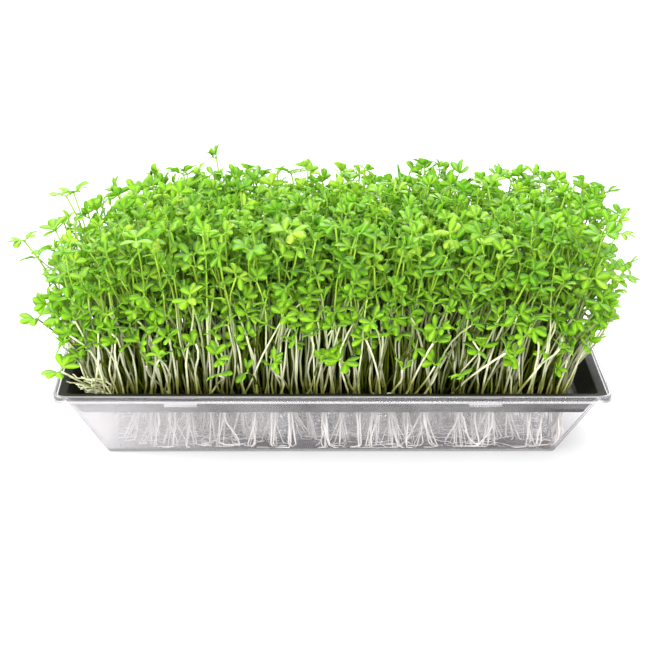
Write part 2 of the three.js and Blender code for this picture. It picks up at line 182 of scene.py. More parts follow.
# Where the tray stands in the frame
tub_high = np.array(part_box("tub")[1]) / MM
insert_low, insert_high = (np.array(corner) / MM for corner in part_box("insert"))
mat_low, mat_high = (np.array(corner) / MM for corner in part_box("seed_mat"))
RIM_HALF_X = tub_high[0]
RIM_HALF_Y = tub_high[1] - TAB_PROUD
RIM_TOP = tub_high[2]
FLANGE_TOP = insert_high[2]
INSERT_BOTTOM = insert_low[2]
MAT_TOP = mat_high[2]
FOOT_TOP = MAT_TOP + 0.5


# Mesh making

def mesh_piece(name, points, faces, smooth=True, **marks):
    """A mesh object from points in millimetres. faces is an array of triangles or quads, or a
    list of such arrays, and marks are named numbers, one for each point."""
    arrays = faces if isinstance(faces, list) else [faces]
    corners = np.concatenate([a.reshape(-1) for a in arrays]).astype(np.int32)
    sizes = np.concatenate([np.full(len(a), a.shape[1]) for a in arrays])
    starts = np.concatenate([[0], np.cumsum(sizes)[:-1]]).astype(np.int32)
    mesh = bpy.data.meshes.new(name)
    mesh.vertices.add(len(points))
    mesh.vertices.foreach_set("co", (np.asarray(points) * MM).astype(np.float32).ravel())
    mesh.loops.add(len(corners))
    mesh.loops.foreach_set("vertex_index", corners)
    mesh.polygons.add(len(starts))
    mesh.polygons.foreach_set("loop_start", starts)
    mesh.polygons.foreach_set("use_smooth", np.full(len(starts), smooth))
    for mark, values in marks.items():
        layer = mesh.attributes.new(mark, "FLOAT", "POINT")
        layer.data.foreach_set("value", np.asarray(values, dtype=np.float32))
    mesh.update()
    mesh.validate()
    piece = bpy.data.objects.new(name, mesh)
    bpy.context.scene.collection.objects.link(piece)
    return piece


def finish_piece(piece, material, replaced=()):
    piece.data.materials.clear()
    piece.data.materials.append(material)
    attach(piece, "root")
    if replaced:
        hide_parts(*replaced)
    return piece


def unit(vectors):
    return vectors / np.maximum(np.linalg.norm(vectors, axis=-1, keepdims=True), 1e-9)


def between(point):
    """Quads between the rows of a grid of point numbers, of which each row closes on itself."""
    after = np.roll(point, -1, axis=-1)
    near, near_after = point[..., :-1, :], after[..., :-1, :]
    far, far_after = point[..., 1:, :], after[..., 1:, :]
    return np.stack([near, near_after, far_after, far], -1).reshape(-1, 4)


def tubes(paths, radii, sides):
    """Closed tubes along many paths. paths is (tubes, stations, 3) and radii (tubes, stations)."""
    count, stations, _ = paths.shape
    heading = unit(np.gradient(paths, axis=1))
    lead = np.where(np.abs(heading[:, :1, 2:]) > 0.9, [[[1.0, 0, 0]]], [[[0, 0, 1.0]]])
    across = unit(np.cross(heading, np.broadcast_to(lead, heading.shape)))
    other = np.cross(heading, across)
    turn = np.arange(sides) / sides * 2 * np.pi
    ring = across[:, :, None] * np.cos(turn)[:, None] + other[:, :, None] * np.sin(turn)[:, None]
    points = paths[:, :, None] + ring * radii[:, :, None, None]
    point = np.arange(count * stations * sides).reshape(count, stations, sides)
    return points.reshape(-1, 3), [between(point), point[:, 0, ::-1], point[:, -1]]


def joined(groups):
    """Points and faces of several groups as one. Each group is points, and a list of faces."""
    points, faces, start = [], [], 0
    for group_points, group_faces in groups:
        points.append(group_points)
        faces += [f + start for f in group_faces]
        start += len(group_points)
    return np.concatenate(points), faces


# The tray's shells

def outline(inset, z):
    radius = max(CORNER_RADIUS - CORNER_SHRINK * inset, SMALLEST_CORNER)
    half_x = RIM_HALF_X - inset - radius
    half_y = RIM_HALF_Y - inset - radius
    ring = []
    for corner, (side_x, side_y) in enumerate(((1, 1), (-1, 1), (-1, -1), (1, -1))):
        for step in range(CORNER_STEPS + 1):
            angle = (corner + step / CORNER_STEPS) * math.pi / 2
            x = side_x * half_x + radius * math.cos(angle)
            y = side_y * half_y + radius * math.sin(angle)
            ring.append((x, y, z))
    return np.array(ring)


def arc(middle, radius, start, end, steps=5):
    """Profile points on an arc. Angles are in degrees, 0 towards a smaller inset and 90 upwards."""
    turns = np.radians(np.linspace(start, end, steps + 1))
    return [(middle[0] - radius * math.cos(t), middle[1] + radius * math.sin(t)) for t in turns]


def wall_rings(profile):
    """Rings round the tray at a profile's insets and heights, and the numbers of their points."""
    rings = np.array([outline(inset, z) for inset, z in profile])
    return rings, np.arange(rings.shape[0] * rings.shape[1]).reshape(rings.shape[:2])


def shell(profile):
    """A closed shell round a profile that runs up the outside and down the inside."""
    rings, point = wall_rings(profile)
    return rings.reshape(-1, 3), [between(point), point[:1, ::-1], point[-1:]]


def inner_wall_inset(z):
    """The inset of the tub's inner wall at a height."""
    rise = (z - BASE_ROUND) / (LEDGE_TOP - LEDGE_THICKNESS - BASE_ROUND)
    return BASE_INSET + (WALL_TOP_INSET - BASE_INSET) * rise + TUB_WALL


def make_tub():
    """The clear tub: leaning walls, the insert's ledge, a round bead, and a skirt with a lip."""
    ledge_bottom = LEDGE_TOP - LEDGE_THICKNESS
    lip = 0.75
    bead = 1.05
    profile = [
        (BASE_INSET + BASE_ROUND + 4, 0),
        *arc((BASE_INSET + BASE_ROUND, BASE_ROUND), BASE_ROUND, -90, -8),
        (WALL_TOP_INSET + 0.4, ledge_bottom - 0.6), (WALL_TOP_INSET - 0.2, ledge_bottom),
        (SKIRT_THICKNESS + 0.3, ledge_bottom), (SKIRT_THICKNESS, ledge_bottom - 0.3),
        (SKIRT_THICKNESS, SKIRT_FOOT + 0.2), (SKIRT_THICKNESS - 0.3, SKIRT_FOOT),
        *arc((lip, SKIRT_FOOT + lip), lip, -70, 60),
        (0.5, SKIRT_FOOT + 1.9), (0.55, RIM_TOP - 1.5),
        *arc((bead, RIM_TOP - bead), bead, -20, 175, 9),
        (BEAD_WIDTH, RIM_TOP - 1.3), (BEAD_WIDTH + 0.15, LEDGE_TOP + 0.1),
        (BEAD_WIDTH + 0.4, LEDGE_TOP), (WALL_TOP_INSET + 0.4, LEDGE_TOP),
        (WALL_TOP_INSET + TUB_WALL - 0.05, LEDGE_TOP - 0.35),
        (inner_wall_inset(LEDGE_TOP - 1.2), LEDGE_TOP - 1.2),
        (inner_wall_inset(TUB_FLOOR + 0.9), TUB_FLOOR + 0.9),
        (BASE_INSET + TUB_WALL + 0.35, TUB_FLOOR + 0.2),
        (BASE_INSET + TUB_WALL + 1.2, TUB_FLOOR),
    ]
    points, faces = shell(profile)
    # The corner mark lets the material paint the grey shade of light bent at the upright corners
    round_corner = np.sin(np.linspace(0, np.pi, CORNER_STEPS + 1)) ** 2
    tub = mesh_piece("tub_shell", points, faces, corner=np.tile(round_corner, 4 * len(profile)))
    smooth_by_angle(tub, SHARP_ANGLE)
    return tub


def make_tabs():
    """Four flat snap tabs on the skirt, two in front and two behind."""
    groups = []
    for side in (-1, 1):
        for x in (-TAB_FROM_MIDDLE, TAB_FROM_MIDDLE):
            y_out = side * (RIM_HALF_Y + TAB_PROUD)
            y_in = side * (RIM_HALF_Y + TAB_PROUD - TAB_THICKNESS)
            low = (x - TAB_LENGTH / 2, min(y_out, y_in), TAB_FOOT)
            high = (x + TAB_LENGTH / 2, max(y_out, y_in), TAB_TOP)
            groups.append(rounded_box(low, high, 0.35))
    points, faces = joined(groups)
    return mesh_piece("tub_tabs", points, faces, corner=np.zeros(len(points)))


def rounded_box(low, high, radius, steps=3):
    """A box with rounded upright and level edges, as one closed skin."""
    low, high = np.array(low, float), np.array(high, float)
    ticks = np.linspace(-1, 1, 2 * steps + 1)
    points, index, faces = [], {}, []

    def corner(place):
        key = tuple(np.round(place, 6))
        if key not in index:
            core = np.clip(place, -0.5, 0.5) * 2
            away = unit((place - np.clip(place, -0.5, 0.5))[None])[0]
            middle = (low + high) / 2 + core * ((high - low) / 2 - radius)
            index[key] = len(points)
            points.append(middle + away * radius)
        return index[key]

    for axis in range(3):
        for sign in (-1, 1):
            for i in range(2 * steps):
                for j in range(2 * steps):
                    quad = []
                    for u, v in ((i, j), (i + 1, j), (i + 1, j + 1), (i, j + 1)):
                        place = np.zeros(3)
                        place[axis] = sign
                        place[(axis + 1) % 3] = ticks[u]
                        place[(axis + 2) % 3] = ticks[v]
                        quad.append(corner(place))
                    faces.append(quad if sign > 0 else quad[::-1])
    return np.array(points), [np.array(faces)]


def smooth_by_angle(piece, degrees):
    """Sharp edges where faces meet at more than an angle, and smooth shading elsewhere."""
    mesh = piece.data
    mesh.polygons.foreach_set("use_smooth", np.full(len(mesh.polygons), True))
    mesh.set_sharp_from_angle(angle=math.radians(degrees))


def ring_of(middle, radius, count, z):
    turns = (np.arange(count) + 0.5) / count * 2 * np.pi
    x = middle[0] + radius * np.cos(turns)
    y = middle[1] + radius * np.sin(turns)
    return np.stack([x, y, np.full(count, z)], 1)


def square_ring(low, high, count, z):
    """Points round a rectangle, one in the direction of each point of ring_of."""
    middle = (np.array(low) + high) / 2
    half = (np.array(high) - low) / 2
    turns = (np.arange(count) + 0.5) / count * 2 * np.pi
    way = np.stack([np.cos(turns), np.sin(turns)], 1)
    reach = 1 / np.maximum(np.abs(way[:, 0]), np.abs(way[:, 1]))
    flat = middle + way * reach[:, None] * half
    return np.column_stack([flat, np.full(count, z)])


HOLE_SIDES = 16
CELLS_EACH_WAY = 3
SMALL_HOLE = 1.25
FOOT_HOLE = FOOT_RADIUS + 0.35


def floor_limit():
    """Half the size of the insert's perforated field."""
    foot = INSERT_BASE_INSET + INSERT_WALL + 1
    return np.array([RIM_HALF_X - foot, RIM_HALF_Y - foot])


def perforated_floor():
    """The insert's floor: square cells, each with a round hole, a wide one under each foot."""
    top, bottom = INSERT_BOTTOM + INSERT_FLOOR, INSERT_BOTTOM
    groups = []
    wide, deep = TUFT_PITCH_X / CELLS_EACH_WAY, TUFT_PITCH_Y / CELLS_EACH_WAY
    limit = floor_limit()
    for i in range(TUFT_COLUMNS * CELLS_EACH_WAY):
        for j in range(TUFT_ROWS * CELLS_EACH_WAY):
            low = np.array([(i - TUFT_COLUMNS * CELLS_EACH_WAY / 2) * wide,
                            (j - TUFT_ROWS * CELLS_EACH_WAY / 2) * deep])
            high = np.clip(low + (wide, deep), -limit, limit)
            low = np.clip(low, -limit, limit)
            middle = (low + high) / 2
            under_foot = i % CELLS_EACH_WAY == 1 and j % CELLS_EACH_WAY == 1
            radius = FOOT_HOLE if under_foot else SMALL_HOLE
            rings = np.stack([
                square_ring(low, high, HOLE_SIDES, bottom),
                square_ring(low, high, HOLE_SIDES, top),
                ring_of(middle, radius, HOLE_SIDES, top),
                ring_of(middle, radius, HOLE_SIDES, bottom),
            ])
            point = np.arange(4 * HOLE_SIDES).reshape(4, HOLE_SIDES)
            after = np.roll(point, -1, axis=1)
            under = np.roll(point, -1, axis=0)
            under_after = np.roll(after, -1, axis=0)
            faces = np.stack([point, after, under_after, under], -1)[1:].reshape(-1, 4)
            groups.append((rings.reshape(-1, 3), [faces]))
    return joined(groups)


def make_insert():
    """The black insert: a flat flange, sloped walls with soft bends, and a perforated floor."""
    flange_bottom = FLANGE_TOP - INSERT_FLANGE
    edge = BEAD_WIDTH + FIT_GAP
    inner_top = INSERT_WALL_TOP_INSET + INSERT_WALL
    inner_foot = INSERT_BASE_INSET + INSERT_WALL
    floor_top = INSERT_BOTTOM + INSERT_FLOOR
    profile = [
        (INSERT_BASE_INSET + 1, INSERT_BOTTOM),
        (INSERT_BASE_INSET + 0.3, INSERT_BOTTOM + 0.25),
        (INSERT_BASE_INSET, INSERT_BOTTOM + 0.9),
        (INSERT_WALL_TOP_INSET + 0.25, flange_bottom - 0.5),
        (INSERT_WALL_TOP_INSET - 0.2, flange_bottom), (edge + 0.2, flange_bottom),
        (edge, flange_bottom + 0.2), (edge, FLANGE_TOP - 0.2), (edge + 0.2, FLANGE_TOP),
        (inner_top - 0.5, FLANGE_TOP), (inner_top - 0.1, FLANGE_TOP - 0.15),
        (inner_top + 0.25, FLANGE_TOP - 0.8),
        (inner_foot - 0.35, floor_top + 0.8), (inner_foot + 0.1, floor_top + 0.2),
        (inner_foot + 0.8, floor_top),
    ]
    rings, point = wall_rings(profile)
    wall = (rings.reshape(-1, 3), [between(point)])
    margin = flat_frame(rings[-1], rings[0], *floor_limit())
    insert = mesh_piece("insert_tray", *joined([wall, margin, perforated_floor()]))
    smooth_by_angle(insert, SHARP_ANGLE)
    return insert


def flat_frame(upper_ring, lower_ring, half_x, half_y):
    """The level margin between the walls' foot and the perforated floor, above and below."""
    flat = []
    for ring in (upper_ring, lower_ring):
        x = np.clip(ring[:, 0], -half_x, half_x)
        y = np.clip(ring[:, 1], -half_y, half_y)
        flat.append(np.column_stack([x, y, ring[:, 2]]))
    points = np.concatenate([upper_ring, flat[0], lower_ring, flat[1]])
    point = np.arange(len(points)).reshape(4, -1)
    after = np.roll(point, -1, axis=1)
    above = np.stack([point[0], after[0], after[1], point[1]], -1)
    below = np.stack([point[3], after[3], after[2], point[2]], -1)
    return points, [above, below]


# The seedlings' plans

class Draw:
    """The CAD's repeatable draw of numbers."""

    def __init__(self, seed):
        self.state = seed

    def number(self):
        self.state = (self.state * 1664525 + 1013904223) & 0xFFFFFFFF
        return self.state / 4294967296

    def scatter(self, reach):
        return (self.number() * 2 - 1) * reach


def bezier(base, knee, head, stations):
    t = np.asarray(stations)[:, None]
    return (1 - t) ** 2 * base + 2 * t * (1 - t) * knee + t ** 2 * head


def rosette_frame(up, yaw):
    along = np.array([math.cos(yaw), math.sin(yaw), 0])
    across = unit(np.cross(up, along))
    return np.cross(across, up), across


def plan_seedling(draw, base, head):
    knee = base + (head - base) * KNEE_SIDEWAYS
    knee[2] = base[2] + (head[2] - base[2]) * KNEE_UPWARDS
    knee[0] += draw.scatter(STEM_BOW)
    knee[1] += draw.scatter(STEM_BOW)
    lean_x = head[0] / LEAN_X_OVER + draw.scatter(LEAN_SCATTER)
    lean_y = head[1] / LEAN_Y_OVER + draw.scatter(LEAN_SCATTER)
    up = unit(np.array([lean_x, lean_y, 1.0]))
    along, across = rosette_frame(up, draw.number() * math.pi)
    scale = SMALLEST_SCALE + draw.number() * SCALE_RANGE
    return {"base": base, "knee": knee, "head": head, "up": up, "along": along, "across": across,
            "scale": scale}


def covering_balls(plan, foot):
    """Balls over a seedling's stem and lobes. A stem's have its foot's number and a lobe's -1."""
    fine = bezier(plan["base"], plan["knee"], plan["head"], np.linspace(0, 1, 201))
    length = np.linalg.norm(np.diff(fine, axis=0), axis=1).sum()
    count = math.ceil(length / (2 * STEM_RADIUS))
    stem = bezier(plan["base"], plan["knee"], plan["head"], np.arange(count + 1) / count)
    places, radii = [stem], [np.full(len(stem), STEM_BALL_RADIUS)]
    for angle in np.radians(LOBE_ANGLES):
        way = plan["along"] * math.cos(angle) + plan["across"] * math.sin(angle)
        for reach, radius in LOBE_BALLS:
            rise = min(reach / LOBE_WIDEST_AT, 1) * LOBE_RISE
            places.append((plan["head"] + (way * reach + plan["up"] * rise) * plan["scale"])[None])
            radii.append([radius * plan["scale"]])
    owner = np.full(sum(len(p) for p in places), -1)
    owner[:len(stem)] = foot
    return np.concatenate(places), np.concatenate(radii), owner


def cad_seedlings():
    """The seedlings of the CAD's tufts, each with its foot's number."""
    draw = Draw(SEED)
    feet, grown = [], []
    for row in range(TUFT_ROWS):
        for column in range(TUFT_COLUMNS):
            x = (column - (TUFT_COLUMNS - 1) / 2) * TUFT_PITCH_X
            y = (row - (TUFT_ROWS - 1) / 2) * TUFT_PITCH_Y
            at_edge = column in (0, TUFT_COLUMNS - 1) or row in (0, TUFT_ROWS - 1)
            feet.append({"x": x, "y": y, "most": SEEDLINGS_AT_EDGE if at_edge else SEEDLINGS_INSIDE,
                         "plans": []})

    def grow_if_room(number, head):
        foot = feet[number]
        angle = len(foot["plans"]) / STEM_RING_PLACES * 2 * math.pi + STEM_RING_TURN
        base = np.array([foot["x"] + STEM_RING_RADIUS * math.cos(angle),
                         foot["y"] + STEM_RING_RADIUS * math.sin(angle), FOOT_TOP - STEM_SUNK])
        plan = plan_seedling(draw, base, head)
        places, radii, owner = covering_balls(plan, number)
        if grown:
            others, other_radii, other_owner = (np.concatenate(part) for part in zip(*grown))
            near = np.abs(others - head).max(1) < 120
            others, other_radii, other_owner = others[near], other_radii[near], other_owner[near]
            gap2 = ((places[:, None] - others[None]) ** 2).sum(-1)
            reach = radii[:, None] + other_radii[None] + SPARE_ROOM
            same = (owner[:, None] == other_owner[None]) & (owner[:, None] >= 0)
            if ((gap2 <= reach ** 2) & ~same).any():
                return False
        plan["foot"] = number
        foot["plans"].append(plan)
        grown.append((places, radii, owner))
        return True

    for x, y, z in OUTLYING_ROSETTES + LOW_ROSETTES:
        away = [math.hypot(f["x"] - x * LEAN_BACK_X, f["y"] - y * LEAN_BACK_Y) for f in feet]
        nearest = away.index(min(away))
        for _ in range(PLACING_TRIES):
            if grow_if_room(nearest, np.array([x, y, z], float)):
                break
    foot_half_x = (TUFT_COLUMNS - 1) / 2 * TUFT_PITCH_X
    foot_half_y = (TUFT_ROWS - 1) / 2 * TUFT_PITCH_Y
    for height, spread in STOREYS:
        for number, foot in enumerate(feet):
            if len(foot["plans"]) >= foot["most"]:
                continue
            for _ in range(PLACING_TRIES):
                z = height + draw.scatter(spread)
                half_x = CANOPY_HALF_LENGTH + (z - MAT_TOP) * CANOPY_FLARE_X - ROSETTE_MARGIN
                half_y = CANOPY_HALF_WIDTH + (z - MAT_TOP) * CANOPY_FLARE_Y - ROSETTE_MARGIN
                x = foot["x"] / foot_half_x * half_x + draw.scatter(SCATTER_X)
                y = foot["y"] / foot_half_y * half_y + draw.scatter(SCATTER_Y)
                if grow_if_room(number, np.array([x, y, z])):
                    break
    return [plan for foot in feet for plan in foot["plans"]]


def end_fall(u):
    """How far the canopy's top drops at a share u of its half length: steeply to the left, and
    rounded to the right."""
    if u < 0:
        return LEFT_FALL * max(-u - LEFT_FALL_FROM, 0) / LEFT_FALL_OVER
    return RIGHT_FALL * (max(u - RIGHT_FALL_FROM, 0) / RIGHT_FALL_OVER) ** 2


def fill_head(rng, u, v, edge, swell):
    """One possible head, at shares u and v of the canopy's half length and half width. edge grows
    towards the canopy's sides, where heads sink further and more evenly. Sunken ones lean out."""
    sprig = SPRIG_RISE * (rng.random() < SPRIG_SHARE)
    sunk = (SUNK_INSIDE + SUNK_AT_EDGE * edge) * rng.random() ** (1.2 - 0.5 * edge)
    lowest = FILL_LOWEST + FILL_LOWEST_SPREAD * rng.random() ** 1.6
    z = max(FILL_TOP + swell + sprig - end_fall(u) - sunk, lowest)
    if edge > STRAY_EDGE and rng.random() < STRAY_SHARE:
        z = rng.uniform(*STRAY_HEIGHTS)
    flare = (z - FILL_REACH_LEVEL) * FILL_FLARE
    half_x = (FILL_REACH_X + flare) * (1 - 0.05 * v ** 4)
    half_y = (FILL_REACH_Y + flare) * (1 - 0.1 * u ** 6)
    x = u * half_x + rng.normal(0, HEAD_SCATTER_X)
    outward = abs(v)
    if outward > OUTWARD_FROM:
        outward += (1 - outward) * 0.8 * min(sunk / OUTWARD_SINK, 1)
    y = math.copysign(outward, v) * half_y + rng.normal(0, HEAD_SCATTER_Y)
    ragged = rng.uniform(*RAGGED_EDGE)
    x = np.clip(x, -half_x - ragged, half_x + ragged)
    y = np.clip(y, -half_y - 0.8 * ragged, half_y + 0.8 * ragged)
    return np.array([x, y, z])


def fill_seedlings(plans):
    """Seedlings on a jittered grid of the seed layer. Each takes the freest of several places."""
    rng = np.random.default_rng(FILL_SEED)
    heads = [plan["head"] for plan in plans]
    depth = np.array([1, 1, 1.5])
    order = [(i, j) for i in range(FILL_COLUMNS) for j in range(FILL_ROWS)]
    rng.shuffle(order)
    for i, j in order:
        u = (i + 0.5) / FILL_COLUMNS * 2 - 1
        v = (j + 0.5) / FILL_ROWS * 2 - 1
        v = math.copysign(abs(v) ** 0.8, v)
        foot_x = FILL_LEFT + (u + 1) / 2 * (FILL_RIGHT - FILL_LEFT)
        base = np.array([foot_x, v * FILL_HALF_WIDTH, FOOT_TOP - STEM_SUNK])
        base[:2] += rng.uniform(-FILL_FOOT_SCATTER, FILL_FOOT_SCATTER, 2)
        edge = max((EDGE_RIGHT if u > 0 else EDGE_LEFT) * abs(u) ** 4, abs(v) ** 1.4)
        swell = 2.2 * math.sin(foot_x / 13) + 1.8 * math.sin(foot_x / 7.3 + 2)
        best, best_room = None, -1
        for _ in range(FILL_CHOICES):
            head = fill_head(rng, u, v, edge, swell)
            room = (((np.array(heads) - head) * depth) ** 2).sum(1).min()
            if room > best_room:
                best, best_room = head, room
        heads.append(best)
        knee = base + (best - base) * rng.uniform(*FILL_KNEE_SIDEWAYS)
        knee[2] = base[2] + (best[2] - base[2]) * rng.uniform(*FILL_KNEE_UPWARDS)
        knee[:2] += rng.normal(0, CROOKED_BOW if rng.random() < CROOKED_SHARE else FILL_BOW, 2)
        lean = best[:2] / FILL_LEAN_OVER + rng.normal(0, FILL_LEAN_SCATTER, 2)
        up = unit(np.array([lean[0], lean[1], 1.0]))
        along, across = rosette_frame(up, rng.random() * math.pi)
        scale = rng.uniform(*FILL_SCALES) + 0.1 * edge
        plans.append({"base": base, "knee": knee, "head": best, "up": up, "along": along,
                      "across": across, "scale": scale, "foot": None})
    return plans


# Leaves

STATIONS = np.array([0, 0.15, 0.38, 0.63, 0.85, 0.97])
WIDTHS = np.array([0.24, 0.52, 0.88, 1.0, 0.82, 0.42])
BLADE_HALF = 0.22
RING_V = np.array([-1, 0, 1, 0])
RING_SIDE = np.array([0, 1, 0, -1])
ARCH_TURN = 0.82 * math.pi
PETIOLE = 2.2
PETIOLE_RADII = (0.5, 0.42, 0.34)
PETIOLE_SIDES = 4
MIDDLE_HALF_WIDTH = 2.5
SIDE_HALF_WIDTH = 2.25
CAP_SHARE = 0.0025

# How the leaves sit on a seedling of the CAD, and on one that fills the stand
CAD_LEAVES = {"rise": (-0.1, 0.3), "roll": 0.12, "turn": 0, "smallest": 0.84, "loose": 0.4,
              "angles": (-48, 0, 48)}
FILL_LEAVES = {"rise": (-0.3, 1.15), "roll": 0.4, "turn": 0.25, "smallest": 0.78, "loose": 1,
               "angles": (-42, 0, 42)}


def lobe_blades(root, way, across, up, *sizes):
    """Lens-shaped closed lobes. Every argument is an array with one row for each lobe, and the
    sizes are length, half width, and how much the blade arches, cups and twists."""
    count = len(root)
    length, half_width, arch, cup, twist = (size[:, None, None] for size in sizes)
    s = STATIONS[None, :, None]
    v = RING_V[None, None, :]
    width = WIDTHS[None, :, None] * half_width
    out = (s + 0 * v) * length
    side = width * v * (1 - 0.1 * s)
    lift = arch * np.sin(s * ARCH_TURN) * (1 + 0 * v)
    lift = lift + cup * np.abs(v) * WIDTHS[None, :, None]
    lift = lift + twist * s * v * WIDTHS[None, :, None]
    lift = lift + RING_SIDE[None, None, :] * BLADE_HALF * (1 - 0.5 * s)
    points = (root[:, None, None] + out[..., None] * way[:, None, None]
              + side[..., None] * across[:, None, None] + lift[..., None] * up[:, None, None])
    tips = root + way * length[:, 0] + up * (arch[:, 0] * math.sin(ARCH_TURN))
    stations, ring = len(STATIONS), len(RING_V)
    flat = np.concatenate([points.reshape(count, -1, 3), tips[:, None]], 1)
    each = flat.shape[1]
    point = np.arange(stations * ring).reshape(stations, ring)
    after = np.roll(point, -1, axis=1)
    bands = np.stack([point[:-1], point[1:], after[1:], after[:-1]], -1).reshape(-1, 4)
    end = np.stack([point[-1], np.full(ring, each - 1), after[-1]], -1)
    start = point[:1]
    shift = (np.arange(count) * each)[:, None, None]
    faces = [(f[None] + shift).reshape(-1, f.shape[1]) for f in (bands, end, start)]
    across_mark = np.concatenate([np.tile(np.abs(RING_V), stations), [0]])
    under_mark = np.concatenate([np.tile(RING_SIDE < 0, stations), [0]])
    return flat.reshape(-1, 3), faces, across_mark, under_mark


def leaf_parts(plans, rng):
    """Blades and petioles of many seedlings, their marks, and the tips that keep a seed hull."""
    lobes, tones, caps, petioles, petiole_tones = [], [], [], [], []
    for plan in plans:
        sit = FILL_LEAVES if plan["foot"] is None else CAD_LEAVES
        loose = sit["loose"]
        tone = rng.random()
        for pair in (0, 1):
            rise = rng.uniform(*sit["rise"])
            roll = rng.normal(0, sit["roll"])
            turn = math.pi * pair + (rng.normal(0, sit["turn"]) if sit["turn"] else 0)
            out = plan["along"] * math.cos(turn) + plan["across"] * math.sin(turn)
            side = unit(np.cross(plan["up"], out))
            way = unit(out + plan["up"] * rise)
            normal = np.cross(way, side)
            side = unit(side * math.cos(roll) + normal * math.sin(roll))
            normal = np.cross(way, side)
            size = plan["scale"] * rng.uniform(sit["smallest"], 1)
            fork = plan["head"] + way * PETIOLE * size + plan["up"] * 0.4
            start = plan["head"] - plan["up"] * 0.5
            bow = (start + fork) / 2 + plan["up"] * 0.25
            petioles.append(np.stack([start, bow, fork + way * 0.8]))
            petiole_tones.append(tone)
            for angle in sit["angles"]:
                bend = math.radians(angle + rng.normal(0, 10 * loose))
                reach = LOBE_REACH * (1 - rng.uniform(0, 0.22) * loose * (angle != 0))
                tip = plan["head"] + (way * math.cos(bend) + side * math.sin(bend)) * reach * size
                tip = tip + normal * (LOBE_TIP_RISE * size + rng.normal(0, 1.5) * loose)
                run = tip - fork
                if rng.random() < CAP_SHARE:
                    caps.append((tip, unit(run)))
                lobe_way = unit(run)
                lobe_side = unit(np.cross(normal, lobe_way))
                half = MIDDLE_HALF_WIDTH if angle == 0 else SIDE_HALF_WIDTH
                lobes.append((
                    fork, lobe_way, lobe_side, np.cross(lobe_way, lobe_side), np.linalg.norm(run),
                    half * size * rng.uniform(0.9, 1.12), rng.normal(0.5, 0.45),
                    rng.uniform(0.0, 0.75), rng.normal(0, 0.45),
                ))
                tones.append(np.clip(tone + rng.normal(0, 0.1), 0, 1))
    blades, faces, across, under = lobe_blades(*(np.array(values) for values in zip(*lobes)))
    count = len(lobes)
    marks = {
        "tone": np.repeat(tones, len(across)),
        "across": np.tile(across, count),
        "under": np.tile(under, count),
    }
    stalks = np.array(petioles)
    radii = np.broadcast_to(np.array(PETIOLE_RADII), stalks.shape[:2])
    stalk_points, stalk_faces = tubes(stalks, radii, PETIOLE_SIDES)
    points, all_faces = joined([(blades, faces), (stalk_points, stalk_faces)])
    extra = len(stalk_points)
    each = len(PETIOLE_RADII) * PETIOLE_SIDES
    marks["tone"] = np.concatenate([marks["tone"], np.repeat(petiole_tones, each)])
    marks["across"] = np.concatenate([marks["across"], np.zeros(extra)])
    marks["under"] = np.concatenate([marks["under"], np.ones(extra)])
    return points, all_faces, marks, caps


STEM_STATIONS = np.linspace(0, 1, 8)
STEM_SIDES = 5
STEM_RADII = ((0, 0.66), (0.1, 0.56), (0.5, 0.52), (1, 0.45))
STEM_WOBBLE = 0.7
STEM_GREEN_FROM = 80
SHADE_OVER = 8


def stem_parts(plans, rng):
    """Stems with a slight wobble, thicker at the foot. Their marks are the height above the seed
    layer, and a tone that is partly random and grows from the edge of the stand inwards, to darken
    the inner stems with painted shade."""
    paths, tones = [], []
    for plan in plans:
        path = bezier(plan["base"], plan["knee"], plan["head"], STEM_STATIONS)
        for waves in (2, 3):
            wave = np.sin(STEM_STATIONS * np.pi * waves)[:, None]
            path[:, :2] += wave * rng.normal(0, STEM_WOBBLE, 2)
        path[-1] -= plan["up"] * 0.6
        paths.append(path)
        x, y, _ = plan["base"]
        inward = min(x - FILL_LEFT, FILL_RIGHT - x, FILL_HALF_WIDTH - abs(y))
        # The tone is a random part plus painted shade that grows inwards from the stand's edge
        tones.append(rng.random() * 0.75 + min(max(inward - 1, 0) / SHADE_OVER, 0.9))
    paths = np.array(paths)
    thick = np.interp(STEM_STATIONS, *zip(*STEM_RADII))
    radii = thick[None] * rng.uniform(0.85, 1.15, (len(plans), 1))
    points, faces = tubes(paths, radii, STEM_SIDES)
    marks = {
        "height": points[:, 2] - MAT_TOP,
        "tone": np.repeat(tones, len(STEM_STATIONS) * STEM_SIDES),
    }
    return points, faces, marks


# Roots

ROOT_STATIONS = 9
ROOT_SEED = 57
ROOT_FULL_X = 86
ROOT_FADE = 36
BUNCHES = 23
BUNCH_STRANDS = (3, 7)
BUNCH_LEAN = 3.4
STRAND_SCATTER = 2.4
STRAND_DRIFT = (22, 4)
STRAND_RADII = (0.2, 0.36, 0.55)
STRAND_SHARES = (0.4, 0.35, 0.25)
STRAND_SIDES = 4
FLOOR_STRANDS = 20
FLOOR_HALF_WIDTH = 26
FLOOR_RADII = (0.16, 0.3)
WALL_GAP = 0.5


